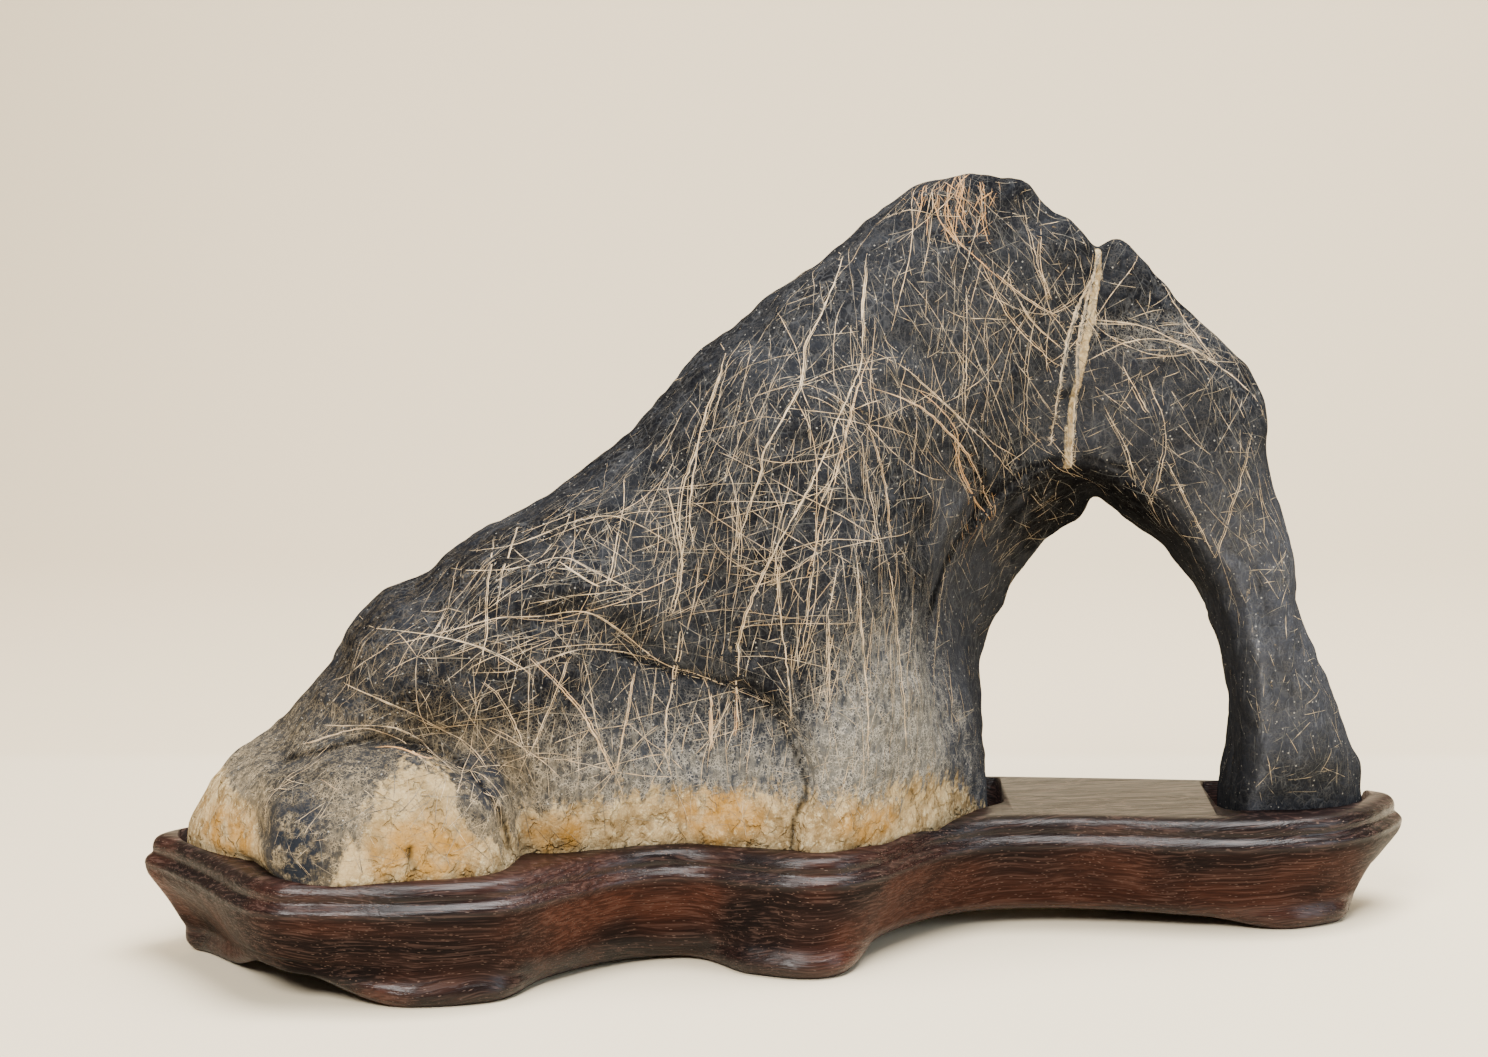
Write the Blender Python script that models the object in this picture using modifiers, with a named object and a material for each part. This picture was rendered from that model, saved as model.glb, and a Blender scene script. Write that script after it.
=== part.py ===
"""A scholar's rock: dark limestone with a natural arch, in the fitted sockets of a carved hardwood stand.

+X runs along the stand towards the arch, +Y to the back and +Z up. The origin is on the table, under the middle.
The outlines below are in millimetres.
"""

import bmesh
import bpy
import numpy as np

MM = 0.001

# The stand
RIM_TOP = 40.0
SOCKET_FLOOR = 30.0
HOLLOW_TOP = 12.0
PLAN_STEPS = 104
PLAN_CURVE_STEP = 2.0
TOP_EDGE_INSET = 4.4
WALL_INSET = 21.0
WALL_DRAFT = 2.0
PLAN_SMOOTHING = 26.0

# The sockets follow the stone's contour just above their floor. The gap round it opens out under the arch.
SEAT_GAP = 0.3
SIDE_GAP = 1.0
ARCH_SIDE_GAP = 5.0
ARCH_SIDE_FROM = 40.0
ARCH_SIDE_TO = 175.0
ARCH_MIDDLE = 110.0
CONTOUR_HEIGHT = 34.0
CONTOUR_MERGE = 1.6
CUTTER_TOP = 46.0

# The widest line of the stand, seen from above, round from the left tip by the front.
PLAN = [
    (-221.7, 13), (-214, -2), (-206, -18), (-199, -35), (-192, -53), (-182, -66), (-169, -70), (-156, -73),
    (-140, -76), (-122, -76.5), (-105, -72), (-88, -60), (-70, -47), (-55, -41), (-42, -42), (-29, -51),
    (-13, -61), (2, -62), (16, -54), (29, -41), (44, -27), (62, -18), (84, -18), (108, -24), (134, -32),
    (157, -36), (178, -34), (198, -25), (213, -11), (221.7, 3), (212, 17), (199, 28), (184, 35), (163, 41),
    (123, 52), (84, 62), (50, 70), (15, 75.5), (-20, 76.5), (-55, 71), (-90, 63), (-125, 60), (-155, 55),
    (-182, 44), (-203, 32), (-216, 23),
]

# Each foot: where it stands on that line, half its length, how far it leans in, how high the apron's edge rises
# after it, and how far the foot takes to flow into the apron before it and after it.
FEET = [
    (-213, 0, 8.0, 10.0, 9.0, 24.0, 40.0),
    (-124, -76, 12.0, 0.0, 1.0, 44.0, 34.0),
    (-18, -58, 11.0, -4.0, 5.5, 24.0, 46.0),
    (184, -33, 9.0, 2.0, 7.0, 36.0, 22.0),
    (150, 44, 12.0, 3.0, 7.0, 30.0, 30.0),
    (-12, 76, 13.0, 3.0, 7.0, 30.0, 30.0),
    (-150, 56, 12.0, 3.0, 7.0, 30.0, 30.0),
]
ARCH_POWER = 0.6

# The apron of the right tip leans in as well: its place, half length, inset and the way it eases out.
TIP_TUCK = (221.7, 3, 6.0, 8.0, 26.0)
# The lean is done well above the sole, and its direction turns gently round the tips.
LEAN = 1.6
LEAN_SMOOTHING = 22.0

# The moulded side from the lip down to the sole: (inset, height), over a foot and over the middle of an arch.
# Heights over an arch count up from the apron's edge once they are below the last fixed one.
MOULDING = [(2.6, 39.6), (1.9, 37.6), (2.7, 35.0), (1.2, 33.2), (0.0, 31.0)]
SIDE_AT_FOOT = [(0.9, 27.5), (2.8, 21.5), (4.8, 15.5), (5.4, 10.5), (4.6, 6.4), (4.3, 2.6), (6.0, 0.0)]
SIDE_AT_ARCH = [(1.1, 27.5), (3.6, 21.5), (6.4, 15.6), (9.2, 4.6), (10.4, 2.8), (11.6, 1.2), (13.4, 0.0)]
FIXED_HEIGHTS = 3

# The stone
VOXEL = 3.0
OUTLINE_STEP = 3.0
WELD = 0.01
SLAB_HALF = 30.0
SMOOTHING_ROUNDS = 4
STONE_TRIANGLES = 6000
STRAIGHT_BELOW = 43.0

# The outline of the stone seen from the front: up the left slope, over the peak, down the leg.
SKYLINE = [
    (-207, 15), (-207, 42), (-203, 50), (-195, 61), (-184, 70), (-174, 74), (-169, 83), (-158, 96),
    (-151, 108), (-143, 118), (-135, 122), (-126, 125), (-119, 131), (-104, 141), (-91, 147), (-76, 156),
    (-65, 164), (-51, 175), (-33, 196), (-24, 203), (-15, 209), (-6, 219), (5, 227), (18, 235), (30, 245),
    (41, 254), (55, 260), (70, 261), (82, 259), (89, 250), (98, 243), (105, 237), (108.5, 228), (112, 237),
    (118, 236), (126, 229), (135, 220), (145, 211), (153, 203), (161, 195), (166, 186), (169, 176),
    (170, 162), (172, 147), (177, 130), (179, 113), (185, 97), (192, 82), (200, 64), (207, 46), (211, 15),
]

# The arch, from its foot on the leg round to its foot on the body: (x, z) half way through the stone, and
# how far the opening moves in x and z from there to the back face. It moves as far the other way to the front.
ARCH = [
    (157, 15, 3.5, 0), (157.5, 40, 3.5, 0), (160, 62, 4, 0), (158, 83, 4.5, 0), (154, 104, 3, -1),
    (148, 118.5, 1.5, -2.5), (140, 129.5, 0, -2.5), (131.5, 136, 2.5, -5), (123.5, 142, 3.5, -6),
    (115.5, 148, 5.5, -7), (107.5, 153, 9.5, -7), (100.5, 147, 14, -10), (84.5, 134, 15.5, -8), (72.5, 116.5, 16.5, -8),
    (67, 100, 15, -6), (69, 83, 10, -3), (72.7, 60, 6.7, -1), (75.3, 40, 4.3, 0), (75.3, 15, 4.3, 0),
]
ARCH_SPLAY_FROM = 4.0
ARCH_SPLAY_TO = 34.0

# The rounding of the edges: how wide it is along the skyline, as (x, width), and round the arch. The share is
# how much of the stone's thickness is left at the very edge. The skyline's edge keeps near one y.
SKY_ROUND = [(-205, 16), (-150, 30), (60, 26), (150, 18), (210, 13)]
SKY_EDGE_SHARE = 0.30
SKY_EDGE_Y = 14.0
SKY_EDGE_REACH = 40.0
ARCH_ROUND = 4.5
ARCH_EDGE_SHARE = 0.88

# The front and back of the stone's foot at the rim, seen from above: (x, y).
FOOT_FRONT = [
    (-212, 2), (-200, -13), (-188, -28), (-178, -38), (-120, -38), (-104, -40), (-90, -38), (-75, -36), (-58, -32),
    (-42, -32), (-27, -41), (-13, -50), (0, -52), (14, -46), (28, -34), (44, -17), (56, -5), (68, 5), (80, 12),
    (94, 8), (110, 2), (146, -8), (157, -14), (174, -18), (190, -15), (203, -7), (214, 2),
]
FOOT_BACK = [
    (-212, 18), (-195, 29), (-175, 38), (-150, 46), (-120, 51), (-90, 54), (-55, 61), (-20, 66), (15, 65),
    (45, 60), (70, 54), (86, 50), (125, 42), (150, 33), (175, 29), (195, 25), (212, 14),
]
# The faces of the stone at the height of the peak.
CREST_FRONT = 0.0
CREST_BACK = 43.0
CREST_HEIGHT = 255.0
FRONT_LEAN = 1.5
BACK_LEAN = 0.8

# Soft lumps: centre x and z, half width, half height, and how far they stand out.
LUMP_FADE = 16.0
LUMPS = [
    (-64, 74, 60, 50, 5),
    (20, 98, 34, 62, 7),
    (-6, 150, 60, 54, 5),
    (70, 205, 60, 50, 5),
    (138, 175, 42, 46, 5),
    (178, 74, 30, 60, 4),
    (-128, 100, 60, 20, 7),
    (-92, 121, 60, 20, 6),
    (-188, 72, 22, 22, 13),
    (-196, 54, 16, 22, 6),
]
BACK_LUMPS = [
    (-150, 60, 56, 46, 10),
    (-75, 92, 62, 60, 11),
    (10, 110, 62, 90, 10),
    (-20, 55, 54, 40, 7),
    (70, 210, 56, 50, 8),
    (186, 74, 30, 66, 5),
    (138, 175, 40, 44, 6),
]
# The square toe that juts out in front: centre x and z, half width, half height, and how far it stands out.
TOE = (-141, 42, 43, 35, 29)
TOE_SQUARENESS = 3.2
TOE_TAPER = 0.12
TOE_VALLEY = 3.0
TOE_VALLEY_AT = 1.05
TOE_VALLEY_WIDTH = 0.07

# Folds on the front: the ground on the right of the line, walking along it, drops back under a lip. Each has
# its line, its depth and how far the hollow reaches.
FOLD_LIP = 2.4
FOLDS = [
    ([(-112, 113), (-98, 118), (-80, 121), (-66, 114), (-50, 101), (-33, 97), (-19, 89), (-10, 79), (-6, 66),
      (-8, 50), (-10, 36)], 6.0, 14.0),
    ([(-62, 124), (-47, 116), (-36, 109), (-27, 101)], 3.0, 7.0),
    ([(-172, 96), (-155, 94), (-138, 89), (-122, 80)], 3.0, 8.0),
    ([(-158, 109), (-137, 112), (-111, 108), (-94, 98)], 2.6, 9.0),
    ([(-146, 121), (-126, 124), (-103, 126), (-86, 122)], 2.0, 8.0),
]

# Upright furrows near the foot: x, top, depth and half width.
FURROW_FADE = 26.0
FURROWS = [
    (-183, 78, 4.0, 3.4), (-102, 80, 9.0, 4.5), (-133, 58, 2.6, 2.4), (-76, 62, 2.4, 2.6), (-62, 66, 2.2, 2.2),
    (-44, 60, 1.8, 3.0), (-22, 70, 1.8, 2.6), (12, 64, 2.0, 3.0), (29, 74, 2.2, 2.8), (170, 96, 1.4, 3.0),
]
BACK_FURROWS = [(-112, 84, 7.0, 5.0), (-38, 96, 6.0, 5.5), (36, 120, 5.0, 5.0), (-168, 70, 4.0, 4.0)]

# The seam that splits the upper arch: its line from the notch down to the crown of the arch.
SEAM = [(110, 236), (102, 206), (98, 186), (97, 160)]
SEAM_DEPTH = 1.6
SEAM_WIDTH = 2.2

WOOD = ("lacquered rosewood", (0.060, 0.018, 0.012, 1.0), 0.32)
LIMESTONE = ("dark limestone", (0.040, 0.042, 0.048, 1.0), 0.55)


def eased(low, high, value):
    """0 below low, 1 above high and a smooth step between."""
    t = np.clip((value - low) / (high - low), 0.0, 1.0)
    return t * t * (3.0 - 2.0 * t)


def new_object(name, mesh, group):
    made = bpy.data.objects.new(name, mesh)
    group.objects.link(made)
    return made


def finish(name, colour, roughness):
    material = bpy.data.materials.new(name)
    material.use_nodes = True
    shader = material.node_tree.nodes["Principled BSDF"]
    shader.inputs["Base Color"].default_value = colour
    shader.inputs["Roughness"].default_value = roughness
    return material


def evaluated_mesh(owner):
    """The mesh of an object with its modifiers applied."""
    bpy.context.view_layer.update()
    graph = bpy.context.evaluated_depsgraph_get()
    return bpy.data.meshes.new_from_object(owner.evaluated_get(graph))


def positions(mesh):
    flat = np.empty(len(mesh.vertices) * 3, np.float32)
    mesh.vertices.foreach_get("co", flat)
    return flat.reshape(-1, 3).astype(np.float64)


def move_to(mesh, points):
    mesh.vertices.foreach_set("co", points.astype(np.float32).ravel())
    mesh.update()


def curve_through(points, step, closed):
    """Points about one step apart on a Catmull-Rom curve through the given ones."""
    given = np.array(points, float)
    count = len(given)
    found = []
    for i in range(count if closed else count - 1):
        if closed:
            before, start, end, after = (given[(i + k) % count] for k in (-1, 0, 1, 2))
        else:
            before, start, end, after = (given[min(max(i + k, 0), count - 1)] for k in (-1, 0, 1, 2))
        pieces = max(2, round(np.linalg.norm((end - start)[:2]) / step))
        t = np.arange(pieces)[:, None] / pieces
        found.append(0.5 * (2 * start + (end - before) * t + (2 * before - 5 * start + 4 * end - after) * t**2
                            + (3 * start - before - 3 * end + after) * t**3))
    if not closed:
        found.append(given[-1:])
    return np.vstack(found)


def spaced(points, count):
    """The given number of points, evenly spaced round a closed line."""
    ring = np.vstack([points, points[:1]])
    along = np.concatenate([[0.0], np.cumsum(np.linalg.norm(np.diff(ring, axis=0), axis=1))])
    wanted = np.arange(count) * along[-1] / count
    return np.stack([np.interp(wanted, along, ring[:, k]) for k in range(2)], axis=1), along[-1]


def rounding(gap, width, edge_share):
    """The share of the full thickness that a round edge leaves, by the distance to that edge."""
    into = np.clip(gap / width, 0.0, 1.0)
    return edge_share + (1.0 - edge_share) * np.sqrt(1.0 - (1.0 - into) ** 2)


def to_line(x, z, line):
    """For each point: its distance to an open line, which side it is on (+ left), and the place along the line."""
    best = np.full(len(x), 1e9)
    side = np.ones(len(x))
    place = np.zeros(len(x))
    for i in range(len(line) - 1):
        ax, az = line[i][:2]
        dx, dz = line[i + 1][0] - ax, line[i + 1][1] - az
        t = np.clip(((x - ax) * dx + (z - az) * dz) / (dx * dx + dz * dz), 0.0, 1.0)
        gap = np.hypot(x - ax - t * dx, z - az - t * dz)
        near = gap < best
        best = np.where(near, gap, best)
        side = np.where(near, np.sign(dx * (z - az) - dz * (x - ax)), side)
        place = np.where(near, i + t, place)
    return best, side, place / (len(line) - 1)


def lump_height(x, z, lumps):
    total = np.zeros(len(x))
    for centre_x, centre_z, half_x, half_z, height in lumps:
        inside = 1.0 - ((x - centre_x) / half_x) ** 2 - ((z - centre_z) / half_z) ** 2
        total += height * eased(0.0, 1.0, inside)
    return total * eased(STRAIGHT_BELOW, STRAIGHT_BELOW + LUMP_FADE, z)


def toe_height(x, z):
    centre_x, centre_z, half_x, half_z, height = TOE
    across = (x - centre_x) / half_x
    up = (z - centre_z) / (half_z * (1.0 - TOE_TAPER * across))
    out = (np.abs(across) ** TOE_SQUARENESS + np.abs(up) ** TOE_SQUARENESS) ** (1.0 / TOE_SQUARENESS)
    valley = TOE_VALLEY * np.exp(-(((out - TOE_VALLEY_AT) / TOE_VALLEY_WIDTH) ** 2))
    return height * np.sqrt(np.clip(1.0 - out**3, 0.0, 1.0)) * eased(0.0, 0.10, 1.0 - out) - valley


def fold_depth(x, z):
    total = np.zeros(len(x))
    for line, depth, reach in FOLDS:
        gap, side, place = to_line(x, z, curve_through(line, OUTLINE_STEP, False))
        below = 0.5 * (1.0 - np.tanh(side * gap / FOLD_LIP))
        total += depth * below * np.exp(-gap / reach) * eased(0.0, 0.12, place) * eased(0.0, 0.05, 1.0 - place)
    return total


def furrow_depth(x, z, furrows):
    total = np.zeros(len(x))
    for centre, top, depth, half in furrows:
        total += depth * np.exp(-((x - centre) / half) ** 2) * (1.0 - eased(top - FURROW_FADE, top, z))
    return total


def stone_faces(x, z):
    """The front and the back of the stone, as y, over each point of its outline."""
    z = np.maximum(z, STRAIGHT_BELOW)
    rise = np.clip((z - RIM_TOP) / (CREST_HEIGHT - RIM_TOP), 0.0, 1.0)
    foot_front = np.interp(x, *np.transpose(curve_through(FOOT_FRONT, OUTLINE_STEP, False)))
    foot_back = np.interp(x, *np.transpose(curve_through(FOOT_BACK, OUTLINE_STEP, False)))
    front = foot_front + (CREST_FRONT - foot_front) * rise**FRONT_LEAN
    back = foot_back + (CREST_BACK - foot_back) * rise**BACK_LEAN
    front += fold_depth(x, z) + furrow_depth(x, z, FURROWS) - lump_height(x, z, LUMPS) - toe_height(x, z)
    back += lump_height(x, z, BACK_LUMPS) - furrow_depth(x, z, BACK_FURROWS)
    gap, _, _ = to_line(x, z, SEAM)
    seam = SEAM_DEPTH * np.exp(-((gap / SEAM_WIDTH) ** 2))
    return front + seam, back - seam


def shape_stone(points):
    """Moves the points of a flat slab onto the stone: faces first, then round edges and the splay of the arch."""
    x, depth, z = points.T
    skyline = curve_through(SKYLINE, OUTLINE_STEP, False)
    arch = curve_through(ARCH, OUTLINE_STEP, False)
    sky_gap, _, _ = to_line(x, z, skyline)
    arch_gap, _, place = to_line(x, z, arch)
    front, back = stone_faces(x, z)
    middle = SKY_EDGE_Y + (0.5 * (front + back) - SKY_EDGE_Y) * eased(0.0, SKY_EDGE_REACH, sky_gap)
    t = np.clip(depth / SLAB_HALF, -1.0, 1.0)

    sky_round = rounding(sky_gap, np.interp(x, *np.transpose(SKY_ROUND)), SKY_EDGE_SHARE)
    arch_round = rounding(arch_gap, ARCH_ROUND, ARCH_EDGE_SHARE)
    reach = np.where(t < 0, middle - front, back - middle)
    y = middle + t * reach * sky_round * arch_round

    steps = np.linspace(0.0, 1.0, len(arch))
    pull = t * (1.0 - eased(ARCH_SPLAY_FROM, ARCH_SPLAY_TO, arch_gap))
    x = x + pull * np.interp(place, steps, arch[:, 2])
    z = z + pull * np.interp(place, steps, arch[:, 3])
    return np.stack([x, y, z], axis=1)


def slab(group):
    """The outline of the stone as a flat plate, standing upright and cut into small even faces."""
    arch = curve_through(ARCH, OUTLINE_STEP, False)[:, :2]
    outline = np.vstack([curve_through(SKYLINE, OUTLINE_STEP, False), arch])
    curve = bpy.data.curves.new("stone outline", "CURVE")
    curve.dimensions = "2D"
    curve.fill_mode = "BOTH"
    curve.extrude = SLAB_HALF * MM
    spline = curve.splines.new("POLY")
    spline.points.add(len(outline) - 1)
    for point, (x, z) in zip(spline.points, outline):
        point.co = (x * MM, z * MM, 0.0, 1.0)
    spline.use_cyclic_u = True
    plate = new_object("stone outline", curve, group)
    mesh = evaluated_mesh(plate)
    bpy.data.objects.remove(plate)

    welded = bmesh.new()
    welded.from_mesh(mesh)
    bmesh.ops.remove_doubles(welded, verts=welded.verts, dist=WELD * MM)
    for vert in welded.verts:
        vert.co = (vert.co.x, -vert.co.z, vert.co.y)
    bmesh.ops.recalc_face_normals(welded, faces=welded.faces)
    welded.to_mesh(mesh)
    welded.free()

    owner = new_object("slab", mesh, group)
    remesh = owner.modifiers.new("even faces", "REMESH")
    remesh.mode = "VOXEL"
    remesh.voxel_size = VOXEL * MM
    even = evaluated_mesh(owner)
    bpy.data.objects.remove(owner)
    return even


def cut_sole(mesh, height):
    """Cuts the mesh off flat and closes the cut."""
    cut = bmesh.new()
    cut.from_mesh(mesh)
    geometry = cut.verts[:] + cut.edges[:] + cut.faces[:]
    made = bmesh.ops.bisect_plane(cut, geom=geometry, plane_co=(0, 0, height), plane_no=(0, 0, 1),
                                  clear_inner=True)
    rim = [item for item in made["geom_cut"] if isinstance(item, bmesh.types.BMEdge)]
    bmesh.ops.triangle_fill(cut, use_beauty=True, edges=rim)
    bmesh.ops.recalc_face_normals(cut, faces=cut.faces)
    cut.to_mesh(mesh)
    cut.free()


def build_stone(group):
    mesh = slab(group)
    move_to(mesh, shape_stone(positions(mesh) / MM) * MM)
    stone = new_object("stone", mesh, group)
    soften = stone.modifiers.new("soften", "SMOOTH")
    soften.factor = 0.5
    soften.iterations = SMOOTHING_ROUNDS
    triangles = sum(len(face.vertices) - 2 for face in mesh.polygons)
    thin = stone.modifiers.new("thin out", "DECIMATE")
    thin.ratio = STONE_TRIANGLES / triangles
    shaped = evaluated_mesh(stone)
    stone.modifiers.clear()
    stone.data = shaped
    cut_sole(shaped, (SOCKET_FLOOR + SEAT_GAP) * MM)
    shaped.shade_smooth()
    shaped.materials.append(finish(*LIMESTONE))
    return stone


def outward(ring):
    """The outward direction at each point of a line that runs counter-clockwise seen from above."""
    along = np.roll(ring, -1, axis=0) - np.roll(ring, 1, axis=0)
    along /= np.linalg.norm(along, axis=1)[:, None]
    return np.stack([along[:, 1], -along[:, 0]], axis=1)


def smoothed(ring, spread, length):
    """The line with its waves ironed out by a round average along it."""
    count = len(ring)
    index = np.arange(count)
    away = np.minimum(index, count - index) * length / count
    weight = np.exp(-((away / spread) ** 2))
    weight /= weight.sum()
    spectrum = np.fft.fft(weight)
    return np.stack([np.real(np.fft.ifft(np.fft.fft(ring[:, k]) * spectrum)) for k in range(2)], axis=1)


def nearness(along, place, length, half, before, after):
    """1 within half of a place on the closed line, easing to 0 over its own distance on either side."""
    away = (along - place + 0.5 * length) % length - 0.5 * length
    return 1.0 - eased(half, half + np.where(away < 0.0, before, after), np.abs(away))


def feet_and_edge(ring, length):
    """For each point of the plan: its share of a foot, how far the foot leans in, and the apron edge's height."""
    count = len(ring)
    along = np.arange(count) * length / count
    foot = np.zeros(count)
    set_in = np.zeros(count)
    edge = np.zeros(count)
    places = [int(np.argmin(np.hypot(ring[:, 0] - row[0], ring[:, 1] - row[1]))) * length / count for row in FEET]
    for i, (_, _, half, inset, rise, before, after) in enumerate(FEET):
        share = nearness(along, places[i], length, half, before, after)
        set_in += inset * share
        foot = np.maximum(foot, share)
        start = places[i] + half
        span = (places[(i + 1) % len(FEET)] - FEET[(i + 1) % len(FEET)][2] - start) % length
        u = ((along - start) % length) / span
        arch = rise * np.sin(np.pi * np.clip(u, 0.0, 1.0)) ** ARCH_POWER
        edge = np.maximum(edge, np.where(u < 1.0, arch, 0.0))
    x, y, half, inset, ease = TIP_TUCK
    tip = int(np.argmin(np.hypot(ring[:, 0] - x, ring[:, 1] - y))) * length / count
    set_in += inset * nearness(along, tip, length, half, ease, ease)
    return foot, set_in, edge


def build_stand(group):
    ring, length = spaced(curve_through(PLAN, PLAN_CURVE_STEP, True), PLAN_STEPS)
    out = outward(ring)
    foot, set_in, edge = feet_and_edge(ring, length)
    inner = smoothed(ring, PLAN_SMOOTHING, length)
    inner_out = outward(inner)
    side_out = outward(smoothed(ring, LEAN_SMOOTHING, length))

    levels = [(ring - TOP_EDGE_INSET * out, np.full(len(ring), RIM_TOP))]
    for inset, height in MOULDING:
        levels.append((ring - inset * out, np.full(len(ring), height)))
    for i, (at_foot, at_arch) in enumerate(zip(SIDE_AT_FOOT, SIDE_AT_ARCH)):
        lower = min(1.0, LEAN * i / (len(SIDE_AT_FOOT) - 1))
        inset = at_arch[0] + (at_foot[0] - at_arch[0]) * foot + set_in * lower
        arch_height = at_arch[1] if i < FIXED_HEIGHTS else at_arch[1] + edge
        levels.append((ring - inset[:, None] * side_out, arch_height + (at_foot[1] - arch_height) * foot))
    bottom = levels[-1][1]
    levels.append((inner - WALL_INSET * inner_out, bottom))
    levels.append((inner - (WALL_INSET + WALL_DRAFT) * inner_out, np.full(len(ring), HOLLOW_TOP)))

    shell = bmesh.new()
    rings = []
    for plan, heights in levels:
        rings.append([shell.verts.new((x * MM, y * MM, z * MM)) for (x, y), z in zip(plan, heights)])
    for upper, lower in zip(rings, rings[1:]):
        for i in range(len(ring)):
            j = (i + 1) % len(ring)
            shell.faces.new((upper[i], upper[j], lower[j], lower[i]))
    shell.faces.new(rings[0])
    shell.faces.new(rings[-1])
    bmesh.ops.triangulate(shell, faces=[face for face in shell.faces if len(face.verts) > 4])
    bmesh.ops.recalc_face_normals(shell, faces=shell.faces)
    mesh = bpy.data.meshes.new("stand")
    shell.to_mesh(mesh)
    shell.free()
    mesh.materials.append(finish(*WOOD))
    return new_object("stand", mesh, group)


def socket_cutter(stone, group):
    """The stone's own contour at the rim, a little wider, from the socket floor up past the rim."""
    contour = bmesh.new()
    contour.from_mesh(stone.data)
    geometry = contour.verts[:] + contour.edges[:] + contour.faces[:]
    bmesh.ops.bisect_plane(contour, geom=geometry, plane_co=(0, 0, CONTOUR_HEIGHT * MM), plane_no=(0, 0, 1),
                           clear_inner=True, clear_outer=True)
    bmesh.ops.remove_doubles(contour, verts=contour.verts, dist=CONTOUR_MERGE * MM)
    bmesh.ops.triangle_fill(contour, use_beauty=True, edges=contour.edges)
    for vert in contour.verts:
        vert.co.z = SOCKET_FLOOR * MM
    rim = [edge for edge in contour.edges if edge.is_boundary]
    moves = {}
    for edge in rim:
        face = edge.link_faces[0]
        middle = 0.5 * (edge.verts[0].co + edge.verts[1].co)
        along = (edge.verts[1].co - edge.verts[0].co).normalized()
        away = along.cross((0, 0, 1))
        if away.dot(middle - face.calc_center_median()) < 0:
            away.negate()
        for vert in edge.verts:
            moves.setdefault(vert, []).append(away)
    for vert, directions in moves.items():
        away = sum(directions[1:], directions[0].copy()).normalized()
        x = vert.co.x / MM
        facing = max(0.0, away.x if x < ARCH_MIDDLE else -away.x)
        near_arch = 1.0 if ARCH_SIDE_FROM < x < ARCH_SIDE_TO else 0.0
        vert.co += away * (SIDE_GAP + ARCH_SIDE_GAP * near_arch * facing**2) * MM
    top = bmesh.ops.extrude_face_region(contour, geom=contour.faces[:])
    for item in top["geom"]:
        if isinstance(item, bmesh.types.BMVert):
            item.co.z = CUTTER_TOP * MM
    bmesh.ops.recalc_face_normals(contour, faces=contour.faces)
    mesh = bpy.data.meshes.new("socket")
    contour.to_mesh(mesh)
    contour.free()
    cutter = new_object("socket_cutter", mesh, group)
    cutter.hide_render = True
    cutter.display_type = "WIRE"
    return cutter


def cut_sockets(stand, cutter):
    cut = stand.modifiers.new("sockets", "BOOLEAN")
    cut.operation = "DIFFERENCE"
    cut.solver = "EXACT"
    cut.object = cutter


def main():
    for old in list(bpy.data.objects):
        bpy.data.objects.remove(old)
    part = bpy.data.collections.new("scholars_rock")
    cutters = bpy.data.collections.new("cutters")
    bpy.context.scene.collection.children.link(part)
    bpy.context.scene.collection.children.link(cutters)
    stone = build_stone(part)
    stand = build_stand(part)
    cut_sockets(stand, socket_cutter(stone, cutters))


main()
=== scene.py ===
"""Looks of a scholar's rock on its carved stand.

+X runs along the stand towards the arch, +Y to the back and +Z up. Lines and sizes below are in millimetres.
"""

import math

import bmesh
import bpy
import numpy as np
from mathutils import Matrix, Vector
from mathutils.bvhtree import BVHTree


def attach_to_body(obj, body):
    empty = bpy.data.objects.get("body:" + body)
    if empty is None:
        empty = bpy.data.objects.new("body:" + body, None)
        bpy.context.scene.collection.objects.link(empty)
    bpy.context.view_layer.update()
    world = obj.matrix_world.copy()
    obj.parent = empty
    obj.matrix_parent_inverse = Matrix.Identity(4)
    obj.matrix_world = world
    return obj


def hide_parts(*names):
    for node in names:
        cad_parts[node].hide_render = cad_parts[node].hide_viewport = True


MM = 0.001
UP = Vector((0.0, 0.0, 1.0))
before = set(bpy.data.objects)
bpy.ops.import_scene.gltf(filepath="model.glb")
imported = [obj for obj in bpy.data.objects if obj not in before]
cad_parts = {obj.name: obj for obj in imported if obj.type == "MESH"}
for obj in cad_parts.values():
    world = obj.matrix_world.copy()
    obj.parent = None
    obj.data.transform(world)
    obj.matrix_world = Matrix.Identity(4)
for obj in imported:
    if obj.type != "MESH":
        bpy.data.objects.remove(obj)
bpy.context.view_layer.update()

# ======== the stand
# Heights of the sockets' floor, of the top of what cuts the sockets and of the hollow's roof.
SOCKET_FLOOR = 30.0
CUTTER_TOP = 46.0
HOLLOW_TOP = 12.0
# The rings: their points, how far their waves are ironed out at the rim and in the hollow, how far in the
# hollow's wall starts, how much it leans, and from which angle an edge is sharp.
PLAN_STEPS = 480
RIM_SMOOTHING = 3.0
HOLLOW_SMOOTHING = 26.0
WALL_INSET = 21.0
WALL_DRAFT = 2.0
SHARP_EDGE = math.radians(38.0)
# The sockets: the height at which the stone's contour is taken, how far apart its points lie, and the gap
# round it. The gap is wider beside the arch, between two places, and at the tips, past these: (x, gap).
CONTOUR_HEIGHT = 34.0
CONTOUR_STEP = 1.6
SIDE_GAP = 1.0
ARCH_SIDE_GAP = 5.0
ARCH_FROM = 40.0
ARCH_MIDDLE = 110.0
ARCH_TO = 175.0
LEFT_TIP = (-186.0, 1.8)
RIGHT_TIP = (188.0, 1.2)

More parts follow.
